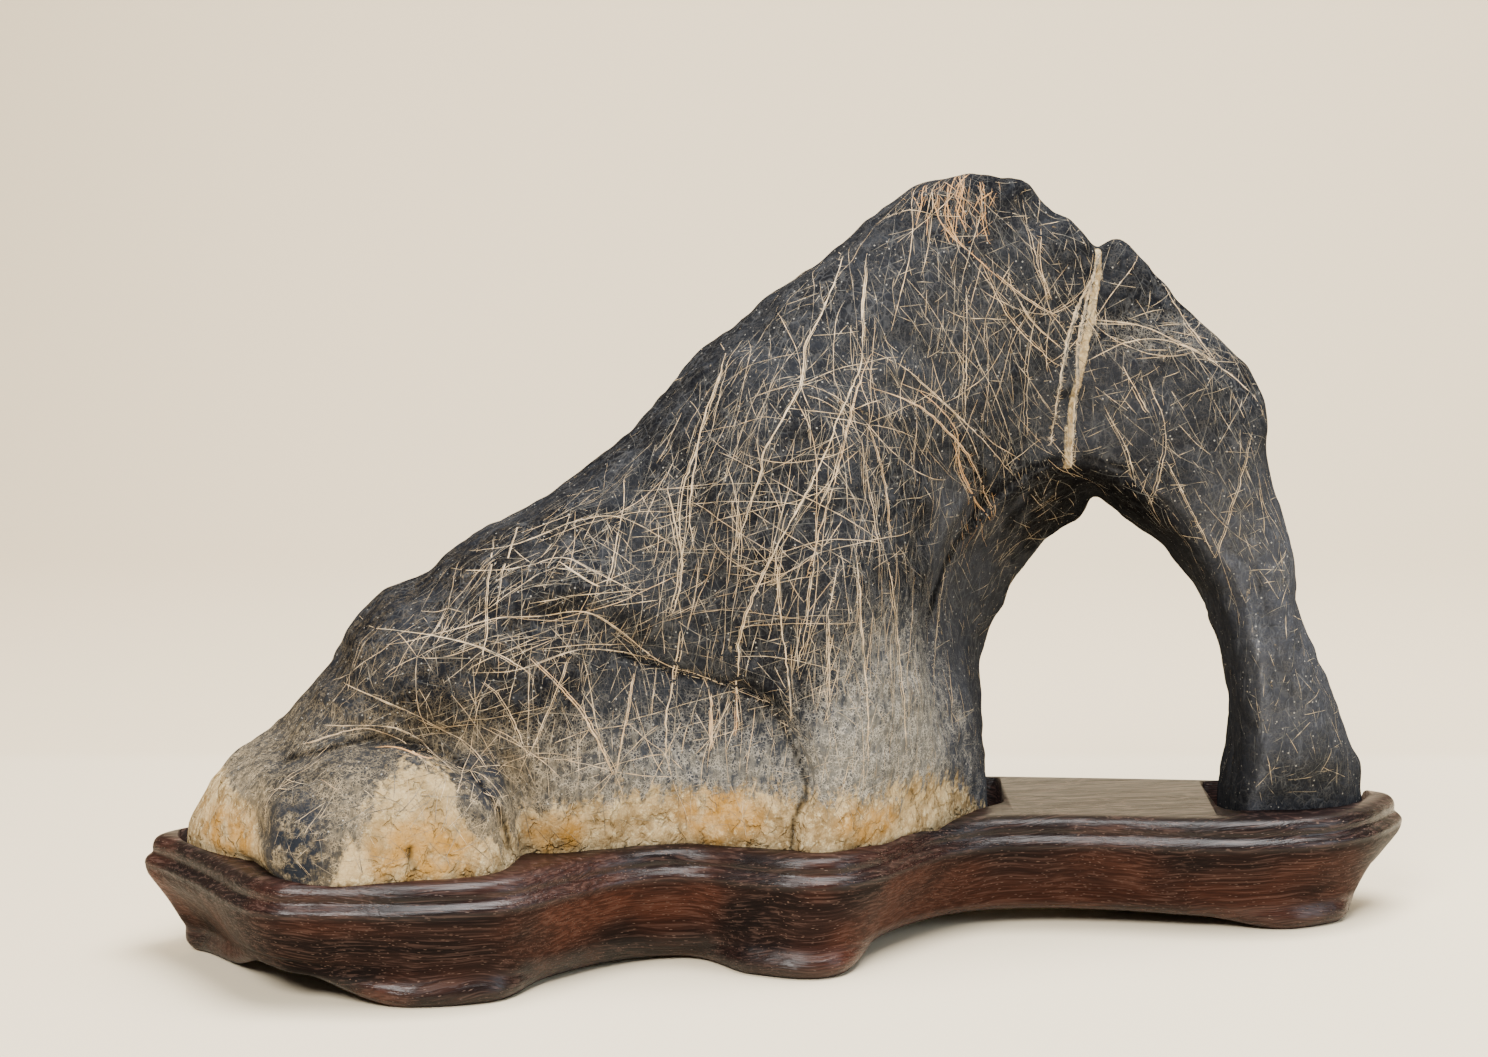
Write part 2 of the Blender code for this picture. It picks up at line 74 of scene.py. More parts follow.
# The widest line of the stand, seen from above, round from the left tip by the front.
PLAN = [
    (-221.7, 13), (-214, -2), (-206, -18), (-199, -35), (-192, -53), (-182, -66), (-169, -70), (-156, -73),
    (-140, -76), (-122, -76.5), (-105, -72), (-88, -60), (-70, -47), (-55, -41), (-42, -42), (-29, -51),
    (-13, -61), (2, -62), (16, -54), (29, -41), (44, -27), (62, -18), (84, -18), (108, -24), (134, -32),
    (157, -36), (178, -34), (198, -25), (213, -11), (221.7, 3), (212, 17), (199, 28), (184, 35), (163, 41),
    (123, 52), (84, 62), (50, 70), (15, 75.5), (-20, 76.5), (-55, 71), (-90, 63), (-125, 60), (-155, 55),
    (-182, 44), (-203, 32), (-216, 23),
]

# Each foot: where it stands on that line, half its length, how far it leans in, how high the apron's edge
# rises after it, and how far the foot takes to flow into the apron before it and after it.
FEET = [
    (-213, 0, 8.0, 10.0, 9.0, 24.0, 40.0),
    (-124, -76, 12.0, 0.0, 1.0, 44.0, 34.0),
    (-18, -58, 11.0, -4.0, 5.5, 24.0, 46.0),
    (184, -33, 9.0, 2.0, 7.0, 36.0, 22.0),
    (150, 44, 12.0, 3.0, 7.0, 30.0, 30.0),
    (-12, 76, 13.0, 3.0, 7.0, 30.0, 30.0),
    (-150, 56, 12.0, 3.0, 7.0, 30.0, 30.0),
]
ARCH_POWER = 0.6

# The apron of the right tip leans in as well: its place, half length, inset and the way it eases out.
TIP_TUCK = (221.7, 3, 6.0, 8.0, 26.0)
# The lean is done well above the sole, and its direction turns gently round the tips.
LEAN = 1.6
LEAN_SMOOTHING = 22.0

# The moulded side, from the flat top by the roll, the cove and the bead to the widest line: (inset, height).
MOULDING = [
    (9.0, 40.4), (7.6, 40.35), (6.2, 40.1), (5.0, 39.6), (4.0, 38.9), (3.3, 38.0), (2.9, 37.0), (2.75, 36.0),
    (2.8, 35.2), (2.8, 34.5), (2.5, 33.9), (1.9, 33.4), (1.2, 32.9), (0.6, 32.3), (0.15, 31.6), (0.0, 30.8),
    (0.15, 30.0),
]
SIDE_AT_FOOT = [
    (0.9, 27), (2.6, 22), (4.5, 16.5), (6.2, 11), (6, 8), (4.4, 5.4), (4.1, 2.6), (6, 0.3),
]
SIDE_AT_ARCH = [
    (1.2, 27), (3.6, 21.5), (6.2, 16), (8.8, 5.6), (9.6, 4), (10.5, 2.6), (11.7, 1.2), (13.4, 0.2),
]
FIXED_HEIGHTS = 3

# ======== the stone
# The stone's own mesh: how far apart its points lie, and how often they are evened out.
VOXEL = 1.6
SOFTEN_ROUNDS = 9

# Lumps all over the stone: height, size, and where in the noise they are taken from.
LUMPS = [(1.3, 34.0, 0.0), (0.9, 13.0, 3.3), (0.65, 5.5, 7.7)]

# Ribs and grooves of the front, as (x, z) lines: how far they stand out (- is cut in) and their half width.
RIBS = [
    ([(-170, 92), (-157, 89), (-141, 82), (-128, 71)], 1.3, 3.2),
    ([(-155, 105), (-137, 109), (-111, 105), (-97, 95)], 1.3, 3.0),
    ([(-146, 118), (-126, 121), (-103, 124), (-83, 120)], 1.1, 3.0),
    ([(-127, 128), (-109, 132), (-88, 132)], 0.9, 2.6),
    ([(-25, 202), (-13, 192), (14, 184), (35, 177)], 1.4, 4.5),
    ([(23, 199), (40, 192), (54, 178), (65, 161), (70, 147)], 1.4, 4.0),
    ([(-4, 176), (16, 170), (34, 160), (48, 146), (56, 128)], 1.0, 4.0),
    ([(146, 130), (156, 128), (160, 117), (164, 99), (169, 81), (171, 68)], -1.3, 2.2),
    ([(-27, 204), (-31, 190), (-36, 168), (-38, 140), (-42, 110)], -0.8, 3.0),
    ([(120, 225), (134, 210), (150, 196), (160, 180)], -0.8, 3.0),
    ([(-137, 36), (-136, 44), (-138, 52)], -1.6, 1.2),
    ([(-70, 106), (-47, 97), (-29, 93), (-17, 87), (-9, 72), (-6, 60), (-10, 50), (-11, 36)], -2.2, 1.6),
    ([(-72, 122), (-52, 116), (-38, 106), (-22, 98), (-8, 84), (0, 68)], 1.1, 3.0),
    ([(107, 232), (102, 220), (98, 203), (98, 185), (97, 160)], -0.9, 2.0),
]

# Round pebbly lumps in the crust along the foot: x, z, radius and height.
PEBBLES = [
    (-191, 47, 9, 2.2), (-183, 44, 7, 1.6), (-92, 50, 9, 1.4), (-80, 47, 7, 1.3), (-70, 50, 8, 1.4),
    (-54, 47, 9, 1.2), (-36, 46, 10, 1.6), (-22, 48, 9, 1.6), (10, 50, 8, 1.3), (24, 49, 7, 1.2),
    (40, 56, 7, 1),
]


def eased(low, high, value):
    """0 below low, 1 above high and a smooth step between."""
    t = np.clip((value - low) / (high - low), 0.0, 1.0)
    return t * t * (3.0 - 2.0 * t)


def curve_through(points, step, closed):
    """Points about one step apart on a Catmull-Rom curve through the given ones."""
    given = np.array(points, float)
    count = len(given)
    found = []
    for i in range(count if closed else count - 1):
        four = np.arange(i - 1, i + 3)
        before, start, end, after = given[four % count if closed else four.clip(0, count - 1)]
        pieces = max(2, round(np.linalg.norm((end - start)[:2]) / step))
        t = np.arange(pieces)[:, None] / pieces
        found.append(0.5 * (2 * start + (end - before) * t + (2 * before - 5 * start + 4 * end - after) * t**2
                            + (3 * start - before - 3 * end + after) * t**3))
    if not closed:
        found.append(given[-1:])
    return np.vstack(found)


def to_line(x, z, line):
    """For each point: its distance to an open line, and the place along the line from 0 to 1."""
    best = np.full(len(x), 1e9)
    place = np.zeros(len(x))
    for i in range(len(line) - 1):
        ax, az = line[i][:2]
        dx, dz = line[i + 1][0] - ax, line[i + 1][1] - az
        t = np.clip(((x - ax) * dx + (z - az) * dz) / (dx * dx + dz * dz), 0.0, 1.0)
        gap = np.hypot(x - ax - t * dx, z - az - t * dz)
        near = gap < best
        best = np.where(near, gap, best)
        place = np.where(near, i + t, place)
    return best, place / (len(line) - 1)


def to_curve(x, z, line):
    """The same for a smooth curve through the points of a line."""
    return to_line(x, z, curve_through(line, 3.0, False))


def hump(gap, half):
    """1 on a line, falling off smoothly on both sides of it."""
    return np.exp(-((gap / half) ** 2))


def but_ends(place, share):
    """1 along a line, easing to 0 over a share of it at each end."""
    return eased(0.0, share, place) * eased(0.0, share, 1.0 - place)


LATTICE_SIZE = 32
LATTICE = np.random.default_rng(11).uniform(-1.0, 1.0, (LATTICE_SIZE,) * 3)


def lumps(points, size, offset=0.0):
    """Smooth noise from -1 to 1 at each point, with lumps about one size across."""
    q = points / size + offset
    cell = np.floor(q).astype(int)
    t = q - cell
    t = t * t * (3.0 - 2.0 * t)
    total = np.zeros(len(points))
    for corner in np.ndindex(2, 2, 2):
        ix, iy, iz = ((cell + corner) % LATTICE_SIZE).T
        total += np.prod(np.where(corner, t, 1.0 - t), axis=1) * LATTICE[ix, iy, iz]
    return total


def points_of(mesh):
    """The place in millimetres and the normal of each point of the mesh."""
    found = []
    for rows, key in ((mesh.vertices, "co"), (mesh.vertex_normals, "vector")):
        flat = np.empty(len(rows) * 3, np.float32)
        rows.foreach_get(key, flat)
        found.append(flat.reshape(-1, 3).astype(np.float64))
    return found[0] / MM, found[1]


def attach(mesh, name, values):
    """Stores one number at each point of the mesh, for its material to read."""
    layer = mesh.attributes.new(name, "FLOAT", "POINT")
    layer.data.foreach_set("value", np.asarray(values, np.float32))


def new_object(name, data):
    """A new object in the scene."""
    made = bpy.data.objects.new(name, data)
    bpy.context.scene.collection.objects.link(made)
    return made


def object_from(name, shape):
    """The mesh object of a bmesh, which is freed."""
    mesh = bpy.data.meshes.new(name)
    shape.to_mesh(mesh)
    shape.free()
    return new_object(name, mesh)


def applied(owner):
    """Applies an object's modifiers and returns its new mesh."""
    bpy.context.view_layer.update()
    graph = bpy.context.evaluated_depsgraph_get()
    mesh = bpy.data.meshes.new_from_object(owner.evaluated_get(graph))
    owner.modifiers.clear()
    owner.data = mesh
    mesh.shade_smooth()
    return mesh


def dress(mesh, material):
    """Gives a mesh its one material."""
    mesh.materials.clear()
    mesh.materials.append(material)


def merged(node):
    """The mesh of a CAD node with its loose triangles joined up."""
    joined = bmesh.new()
    joined.from_mesh(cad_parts[node].data)
    bmesh.ops.remove_doubles(joined, verts=joined.verts, dist=0.01 * MM)
    return joined


# ======== colours and nodes

def colour(code):
    """A linear colour from an sRGB hex code."""
    parts = [int(code[i:i + 2], 16) / 255 for i in (0, 2, 4)]
    return tuple(c / 12.92 if c <= 0.04045 else ((c + 0.055) / 1.055) ** 2.4 for c in parts) + (1.0,)


# What a node is set to unless a call says otherwise: it multiplies, eases in and out, or mixes colours.
USUAL = {
    "Math": {"operation": "MULTIPLY"},
    "MapRange": {"interpolation_type": "SMOOTHSTEP"},
    "Mix": {"data_type": "RGBA"},
}


def add(kind, *inputs, out=0, **settings):
    """Adds a node to the tree of the material in hand and returns one of its outputs. Its inputs are filled
    in order with values, hex colours or other nodes' outputs, and None leaves one as it is."""
    made = tree.nodes.new("ShaderNode" + kind)
    for key, value in (USUAL.get(kind, {}) | settings).items():
        setattr(made, key, value)
    for socket, value in zip([socket for socket in made.inputs if socket.enabled], inputs):
        if isinstance(value, bpy.types.NodeSocket):
            tree.links.new(value, socket)
        elif value is not None:
            socket.default_value = colour(value) if isinstance(value, str) else value
    return [socket for socket in made.outputs if socket.enabled][out]


def piled(start, *rows):
    """The start plus each mask times its weight."""
    for mask, weight in rows:
        start = add("Math", mask, weight, start, operation="MULTIPLY_ADD")
    return start


def lay(base, *rows):
    """Colours laid over the base one by one: each is a mask, its strength and the colour."""
    for mask, strength, top in rows:
        base = add("Mix", add("Math", mask, strength), base, top)
    return base


def patches(place, size, low, high, detail=2.0, roughness=0.5):
    """Soft patches about one size across: 0 where the noise is below low and 1 where it is above high."""
    return add("MapRange", add("TexNoise", place, 1.0 / size, detail, roughness), low, high)


def drawn_out(place, scale, size, detail=3.0, roughness=0.6):
    """Noise about one size across, drawn out along each axis whose scale is below 1."""
    return add("TexNoise", add("Mapping", place, None, None, scale), 1.0 / size, detail, roughness)


def warped(place, size, amount):
    """The place moved about by noise of that size, by up to about half the amount."""
    shift = add("TexNoise", place, 1.0 / size, 2.0, out=1)
    shift = add("VectorMath", shift, (0.5, 0.5, 0.5), operation="SUBTRACT")
    return add("VectorMath", shift, (amount,) * 3, place, operation="MULTIPLY_ADD")


def dotted(place, size, half, fade, share, channel):
    """Round dots in that share of the cells, which one channel of their random colour picks."""
    away = add("TexVoronoi", place, 1.0 / size)
    picked = add("SeparateColor", away.node.outputs["Color"], out=channel)
    picked = add("MapRange", picked, 1.0 - share, 1.04 - share)
    return add("Math", add("MapRange", away, half, fade), picked)


def new_material(name):
    """Starts a material. Returns it, its shader and the place on the object in millimetres."""
    global tree
    made = bpy.data.materials.new(name)
    made.use_nodes = True
    tree = made.node_tree
    tree.nodes.clear()
    shader = add("BsdfPrincipled").node
    tree.links.new(shader.outputs[0], tree.nodes.new("ShaderNodeOutputMaterial").inputs["Surface"])
    return made, shader, add("VectorMath", add("TexCoord", out=3), 1.0 / MM, operation="SCALE")


def finish_with(shader, base, roughness, specular, height=None, depth=1.0):
    """Gives the shader its colour, roughness and sheen, and a bump with its depth in millimetres."""
    rows = {"Base Color": base, "Roughness": roughness, "Specular IOR Level": specular}
    if height is not None:
        rows["Normal"] = add("Bump", 1.0, depth * MM, None, height)
    for name, value in rows.items():
        if isinstance(value, bpy.types.NodeSocket):
            tree.links.new(value, shader.inputs[name])
        else:
            shader.inputs[name].default_value = value


# What paint_stone leaves on the stone: the tan crust and its ochre and worn parts, dust, a leathery skin with
# a painted sheen and a painted highlight, rubbed dark stone, and painted shade in creases, grooves and under
# the arch.
STONE_PAINT = ("crust", "ochre", "worn", "dust", "painted_sheen_and_scratches", "bare", "painted_crease_shade")


def limestone():
    """Weathered black limestone: charcoal with blue-grey clouds, a wrinkled skin, pale specks, dust in the
    hollows and a tan crust on the foot. It has no gloss, because the dust takes it. A painted sheen lightens
    the leg and the left reveal, and painted shade darkens creases, grooves and the arch."""
    made, shader, place = new_material("weathered_black_limestone")
    crust, ochre, worn, dust, painted_sheen_and_scratches, bare, painted_crease_shade = (
        add("Attribute", out=2, attribute_name=name) for name in STONE_PAINT)
    right_half = add("MapRange", add("SeparateXYZ", place), -115.0, -50.0)

    # The skin: long wrinkles 2.6 mm apart that lean with the stone, a 1.1 mm crackle over them, and long
    # scratches on the leathery parts, which also carry a painted sheen.
    leaned = add("Mapping", warped(place, 9.0, 5.0), None, (0.0, 0.25, 0.0), (1.0, 0.7, 0.5))
    wrinkles = add("TexVoronoi", leaned, 1 / 2.6, feature="DISTANCE_TO_EDGE")
    crackle = add("TexVoronoi", warped(place, 2.5, 1.6), 1 / 1.1, feature="DISTANCE_TO_EDGE")
    patchy = piled(0.03, (patches(place, 13.0, 0.44, 0.62, 3.0), 0.20))
    scratches = drawn_out(warped(place, 6.0, 2.0), (1.0, 1.0, 0.10), 1.3)
    scratches = add("Math", add("MapRange", scratches, 0.56, 0.70), painted_sheen_and_scratches)

    # A web of hair-thin curls, faint everywhere and thick where dust has settled: tan left and grey right.
    curls = add("TexVoronoi", warped(place, 3.6, 4.4), 1 / 2.4, feature="DISTANCE_TO_EDGE")
    fine = add("MapRange", crackle, 0.10, 0.02)
    fine = add("Math", fine, add("MapRange", curls, 0.055, 0.015), operation="MAXIMUM")
    fine = add("Math", fine, piled(0.07, (dust, 1.1)))

    # Dust lies in a film and in a streaky haze that follows the hollows.
    powder = add("TexNoise", warped(place, 5.0, 3.0), 1 / 2.2, 6.0, 0.75)
    streaky = drawn_out(warped(place, 6.0, 2.0), (1.0, 1.0, 0.12), 1.5)
    powder = piled(0.0, (powder, 0.35), (streaky, 0.7), (dust, 0.26))
    haze = add("Math", add("MapRange", powder, 0.62, 0.78), add("MapRange", dust, 0.02, 0.35))
    base = lay(
        add("Mix", patches(place, 34.0, 0.35, 0.68, 3.0), "121316", "222428"),
        # Painted sheen: lighter blue-grey on the leg and the left reveal, and a painted highlight by the
        # leg's edge.
        (painted_sheen_and_scratches, 1.0, "42444a"),
        (patches(place, 6.0, 0.48, 0.75, 4.0, 0.6), 1.0, "2a2c30"),
        (add("MapRange", wrinkles, 0.10, 0.02), patchy, "5c5d5e"),
        (scratches, 0.40, "74767a"),
        (add("MapRange", dust, 0.04, 0.80), 0.40, add("Mix", right_half, "635c4e", "4e5259")),
        (fine, patches(place, 3.4, 0.36, 0.62, 3.0, 0.6), add("Mix", right_half, "a8977a", "a7a196")),
        # Pale specks of calcite in two fifths of the 2.1 mm cells.
        (dotted(place, 2.1, 0.17, 0.11, 0.40, 0), 0.55, "b4b0a6"),
        (haze, 0.34, add("Mix", right_half, "93846a", "8f8a7d")),
    )

    # The crust: its upper edge is ragged and runs up in streaks. Crevices split it into 7.5 mm cakes.
    streaks = drawn_out(warped(place, 8.0, 4.0), (1.0, 1.0, 0.33), 3.4, 4.0)
    grains = add("TexNoise", place, 1 / 1.6, 4.0, 0.7)
    covered = add("MapRange", piled(crust, (streaks, 1.0), (grains, 0.55)), 1.215, 1.415)
    cells = add("TexVoronoi", warped(place, 5.0, 9.0), 1 / 7.5, feature="DISTANCE_TO_EDGE")
    crevices = add("Math", add("MapRange", cells, 0.09, 0.01), patches(place, 7.0, 0.45, 0.6, 3.0))
    tan = lay(
        add("Mix", patches(place, 9.0, 0.38, 0.62, 4.0, 0.6), "86704e", "bba47c"),
        (patches(place, 2.2, 0.48, 0.70, 5.0, 0.7), 1.0, "ccbb95"),
        (patches(place, 4.0, 0.56, 0.70, 4.0), 0.35, "665438"),
        (crevices, 0.32, "57462c"),
        (add("MapRange", curls, 0.07, 0.02), 0.30, "6f5d3f"),
        (worn, 0.5, "8f7a54"),
        (add("Math", ochre, patches(place, 6.0, 0.30, 0.62, 3.0)), 0.6, "ab7a26"),
    )

    # Dark stone shows bare where the hand has rubbed it. Painted shade makes creases, grooves, the jambs and
    # the arch's underside nearly black.
    base = lay(
        base,
        (covered, 1.0, tan),
        (add("Math", bare, patches(place, 5.0, 0.40, 0.56, 4.0, 0.6)), 1.0, "24272d"),
        (painted_crease_shade, 1.0, "060607"),
    )
    height = piled(
        0.0,
        (add("MapRange", wrinkles, 0.0, 0.22), 0.55),
        (add("TexNoise", place, 1 / 1.2, 4.0, 0.6), 0.55),
        (add("MapRange", crackle, 0.0, 0.3), 0.18),
        (add("Math", covered, grains), 1.1),
        (add("Math", covered, crevices), -2.2),
    )
    finish_with(shader, base, piled(0.50, (covered, 0.34), (haze, 0.2)), 0.0, height, 0.32)
    return made


def calcite():
    """Dull calcite threads: cream to straw, greyer where they are hair-thin and orange where iron has stained
    them."""
    made, shader, place = new_material("calcite_threads")
    shade, warm = (add("Attribute", out=2, attribute_name=name) for name in ("shade", "warm"))
    pale = add("Mix", patches(place, 2.4, 0.3, 0.75, 3.0), "b39c78", "dfcaa8")
    pale = add("Mix", warm, pale, "c08f58")
    dim = add("Mix", add("MapRange", shade, 0.30, 0.85), "74746f", pale)
    base = add("Mix", add("MapRange", shade, 0.0, 0.8), "2c2e30", dim)
    finish_with(shader, base, 0.72, 0.1, add("TexNoise", place, 1 / 0.7, 3.0), 0.12)
    return made


def rosewood():
    """Satin lacquered rosewood: near-black purple-brown layers over red-brown, fine flowing fibres, short
    pale pores along the grain and a soft sheen on the roll and the bead."""
    made, shader, place = new_material("lacquered_rosewood")
    polish = add("Attribute", out=2, attribute_name="polish")
    across, height_up = (add("SeparateXYZ", place, out=k) for k in (0, 2))
    flowing = warped(place, 60.0, 22.0)
    fibres = drawn_out(flowing, (0.025, 0.25, 1.0), 0.7)
    bands = drawn_out(flowing, (0.05, 0.4, 1.0), 7.0, 3.0, 0.55)
    clouds = add("MapRange", drawn_out(place, (0.5, 1.0, 1.0), 30.0, 2.0, 0.5), 0.42, 0.66)
    glow = piled(0.50, (add("MapRange", across, 80.0, -10.0), 0.42))
    pores = dotted(add("Mapping", flowing, None, None, (0.16, 0.6, 1.0)), 0.52, 0.26, 0.14, 0.40, 1)
    base = lay(
        add("Mix", add("MapRange", bands, 0.36, 0.66), "150f0f", "281b18"),
        (clouds, glow, "492a20"),
        (add("MapRange", height_up, 26.0, 31.0), 0.60, "150f10"),
        (add("MapRange", fibres, 0.47, 0.58), 0.45, "0b0707"),
        (add("MapRange", fibres, 0.46, 0.38), 0.24, "644d45"),
        (pores, 0.42, "8a7063"),
    )
    ripples = drawn_out(place, (0.3, 1.0, 1.0), 9.0, 2.0, 0.5)
    height = piled(0.0, (fibres, 1.3), (pores, -0.5), (ripples, 3.0))
    rough = piled(0.36, (fibres, 0.18), (polish, -0.20))
    finish_with(shader, base, rough, piled(0.035, (polish, 0.20)), height, 0.20)
    return made


# ======== the stone's mesh

def side_of(normal_y):
    """1 where the surface faces the front, 0 where it faces the back."""
    return eased(-0.15, 0.15, -normal_y)


def spot(x, z, centre_x, centre_z, half_x, half_z):
    """A soft round spot: 1 in its middle and 0 outside."""
    away = np.hypot((x - centre_x) / half_x, (z - centre_z) / half_z)
    return 1.0 - eased(0.35, 1.0, away)


# The crease that wraps the toe, from its left end over the top and down its right side.
TOE_CREASE = [
    (-178, 69), (-163, 75.5), (-146, 79), (-130, 77), (-118, 71), (-109, 61), (-105, 50), (-104, 42),
]

# Where the front face of the stone ends along the arch: up the left reveal, and from the crown down the leg.
LEFT_EDGE = [(44, 101), (48, 114), (54, 129), (61, 140), (67, 147), (74.5, 153.5), (86, 160.5), (94, 162)]
RIGHT_EDGE = [
    (97, 163), (103, 161), (116, 156.5), (129.5, 145.5), (139, 137), (147.5, 125.5), (153, 108), (157, 88),
    (158, 68), (157, 50),
]


def build_stone():
    """The stone: the solid with even faces, its relief and its paint."""
    owner = object_from("stone_skin", merged("stone"))
    remesh = owner.modifiers.new("even faces", "REMESH")
    remesh.mode = "VOXEL"
    remesh.voxel_size = VOXEL * MM
    soften = owner.modifiers.new("soften", "SMOOTH")
    soften.factor = 0.5
    soften.iterations = SOFTEN_ROUNDS
    even = applied(owner)
    points, out = points_of(even)
    x, _, z = points.T
    front = side_of(out[:, 1])
    relief = sum(height * lumps(points, size, offset) for height, size, offset in LUMPS)
    relief *= eased(42.0, 50.0, z)
    for line, height, half in RIBS:
        gap, place = to_curve(x, z, line)
        relief += height * hump(gap, half) * but_ends(place, 0.12) * front
    crease_gap, _ = to_curve(x, z, TOE_CREASE)
    relief -= 2.0 * hump(crease_gap, 1.4) * front
    relief += 1.2 * hump(crease_gap - 5.0, 3.0) * front * spot(x, z, -145, 56, 42, 34)
    relief += 1.5 * spot(x, z, -172, 50, 14, 22) * front
    for edge in (LEFT_EDGE, RIGHT_EDGE):
        gap, place = to_curve(x, z, edge)
        relief -= 1.1 * hump(gap, 1.7) * eased(0.0, 0.15, place) * front
    relief += 1.6 * spot(x, z, 96, 238, 9, 12) - 1.6 * spot(x, z, 82, 248, 8, 10)
    for centre_x, centre_z, radius, height in PEBBLES:
        inside = np.clip(1.0 - ((x - centre_x) ** 2 + (z - centre_z) ** 2) / radius**2, 0.0, 1.0)
        relief += height * np.sqrt(inside) * front * eased(40.0, 43.0, z)
    relief += 0.5 * lumps(points * (1.0, 1.0, 0.25), 4.0, 1.7) * eased(92.0, 60.0, z) * eased(41.0, 45.0, z)
    even.vertices.foreach_set("co", ((points + out * relief[:, None]) * MM).astype(np.float32).ravel())
    even.update()
    paint_stone(even)
    owner.name = "stone_piece"
    dress(even, limestone())
    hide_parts("stone")
    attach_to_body(owner, "root")
    return owner


# A rib cut in deeper than this gets painted shade inside.
PAINTED_SHADE_DEPTH = -1.5

# The upper edge of the crust, as (x, z), the line of the seam and the middles of the ochre patches.
CRUST_TOP = [(-205, 62), (-170, 52), (-100, 56), (-60, 60), (0, 60), (40, 58), (56, 52), (70, 40), (90, 20)]
SEAM_LINE = [(107, 234), (101, 206), (97, 184), (96, 160)]
OCHRE = [
    (-133, 48, 24, 16), (-193, 47, 12, 12), (-88, 47, 14, 10), (-33, 50, 20, 14), (15, 48, 16, 9),
    (-128, 45, 12, 7),
]


def paint_stone(mesh):
    """Stores where each kind of paint named in STONE_PAINT lies."""
    points, out = points_of(mesh)
    x, _, z = points.T
    front = side_of(out[:, 1])
    crust = 0.5 + (np.interp(x, *zip(*CRUST_TOP)) - z) / 26.0
    crust = np.where(x > 100, -1.0, crust)
    crust = np.where(out[:, 0] > 0.85, crust - 0.4, crust)
    crust = np.maximum(crust, 0.25 + 0.75 * spot(x, z, -133, 52, 25, 30) * front)
    crust -= 1.3 * spot(x, z, -171, 50, 15, 24) * front
    crust -= 1.3 * spot(x, z, -112, 65, 12, 15) * front
    crust += 0.5 * spot(x, z, -196, 50, 14, 16)
    crust = np.maximum(crust, 1.05 - to_line(x, z, SEAM_LINE)[0] / 2.6)
    attach(mesh, "crust", np.clip(crust, -1.0, 1.2))
    attach(mesh, "ochre", np.max([spot(x, z, *patch) for patch in OCHRE], axis=0))
    dust = 0.72 * eased(98.0, 58.0, z) * eased(95.0, 60.0, x)
    dust += 0.16 * eased(-100.0, -170.0, x) + 0.22 * eased(-170.0, -190.0, x)
    dust += 0.62 * spot(x, z, 24, 80, 40, 52)
    dust += 0.24 * spot(x, z, 125, 205, 28, 11)
    dust *= 1.0 - 0.5 * eased(0.3, 0.9, out[:, 2])
    dust *= 1.0 - 0.8 * eased(0.35, 0.8, np.abs(out[:, 0])) * eased(40.0, 60.0, x)
    dust *= 1.0 - 0.4 * spot(x, z, -172, 52, 19, 30) * front
    attach(mesh, "dust", np.clip(dust, 0.0, 1.0))
    # Painted sheen and leathery scratches: the front of the leg and the left reveal are painted lighter.
    painted_sheen_and_scratches = 0.60 * eased(120.0, 150.0, x) * eased(190.0, 130.0, z) * (0.3 + 0.7 * eased(48.0, 78.0, z))
    painted_sheen_and_scratches += 0.25 * spot(x, z, 110, 180, 40, 30)
    reveal = eased(0.36, 0.54, out[:, 0]) * eased(38.0, 50.0, x) * eased(112.0, 100.0, x)
    painted_sheen_and_scratches += 0.5 * reveal * eased(168.0, 150.0, z)
    edge_x, edge_z = zip(*reversed(RIGHT_EDGE))
    past_edge = x - np.interp(z, edge_z, edge_x)
    leg_side = eased(0.3, 0.0, out[:, 1]) * eased(97.0, 101.0, x) * eased(163.0, 161.0, z)
    # A painted highlight on the front face just outside the leg's front edge.
    painted_sheen_and_scratches += 0.45 * hump(past_edge - 3.0, 2.6) * leg_side
    attach(mesh, "painted_sheen_and_scratches", painted_sheen_and_scratches + 0.12 * spot(x, z, 40, 215, 50, 40))
    attach(mesh, "worn", spot(x, z, -135, 60, 30, 30) * front)
    bare = spot(x, z, -172, 50, 15, 24) * front
    bare = np.maximum(bare, 0.9 * spot(x, z, -112, 66, 13, 13) * front)
    attach(mesh, "bare", bare)
    # Painted shade: under the arch, on the right jamb, on the leg's jamb just inside its front edge and along
    # the left edge of the front face.
    painted_crease_shade = eased(-0.22, -0.42, out[:, 2]) * eased(35.0, 55.0, x) * eased(60.0, 90.0, z)
    painted_crease_shade *= 0.55 - 0.33 * eased(0.1, 0.5, out[:, 0])
    jamb = eased(-0.42, -0.58, out[:, 0]) * eased(100.0, 110.0, x) * eased(160.0, 140.0, z)
    painted_crease_shade = np.maximum(painted_crease_shade, 0.5 * jamb)
    painted_crease_shade = np.maximum(painted_crease_shade, 0.62 * eased(0.8, -0.4, past_edge) * leg_side)
    gap, place = to_curve(x, z, LEFT_EDGE)
    painted_crease_shade = np.maximum(painted_crease_shade, 0.7 * eased(1.7, 0.4, gap) * eased(0.0, 0.2, place) * front)
    # Painted shade inside the deepest grooves and in the crease round the toe.
    for line, height, half in RIBS + [(TOE_CREASE, -2.0, 1.2)]:
        if height < PAINTED_SHADE_DEPTH:
            gap, place = to_curve(x, z, line)
            groove_shade = 0.85 * eased(0.95, 0.25, gap / half) * but_ends(place, 0.08)
            painted_crease_shade = np.maximum(painted_crease_shade, groove_shade * front)
    attach(mesh, "painted_crease_shade", painted_crease_shade)


# ======== the calcite threads

# A thread's step over the stone, how far above it the thread lies, how low it runs, how much it wanders at a
# step in radians, its least half width and how uneven its width and tone are.
STEP = 2.0
LIFT = 0.09
LOWEST = 42.0
WANDER = 0.045
THINNEST = 0.035
UNEVEN = 0.22
MOTTLED = 0.16
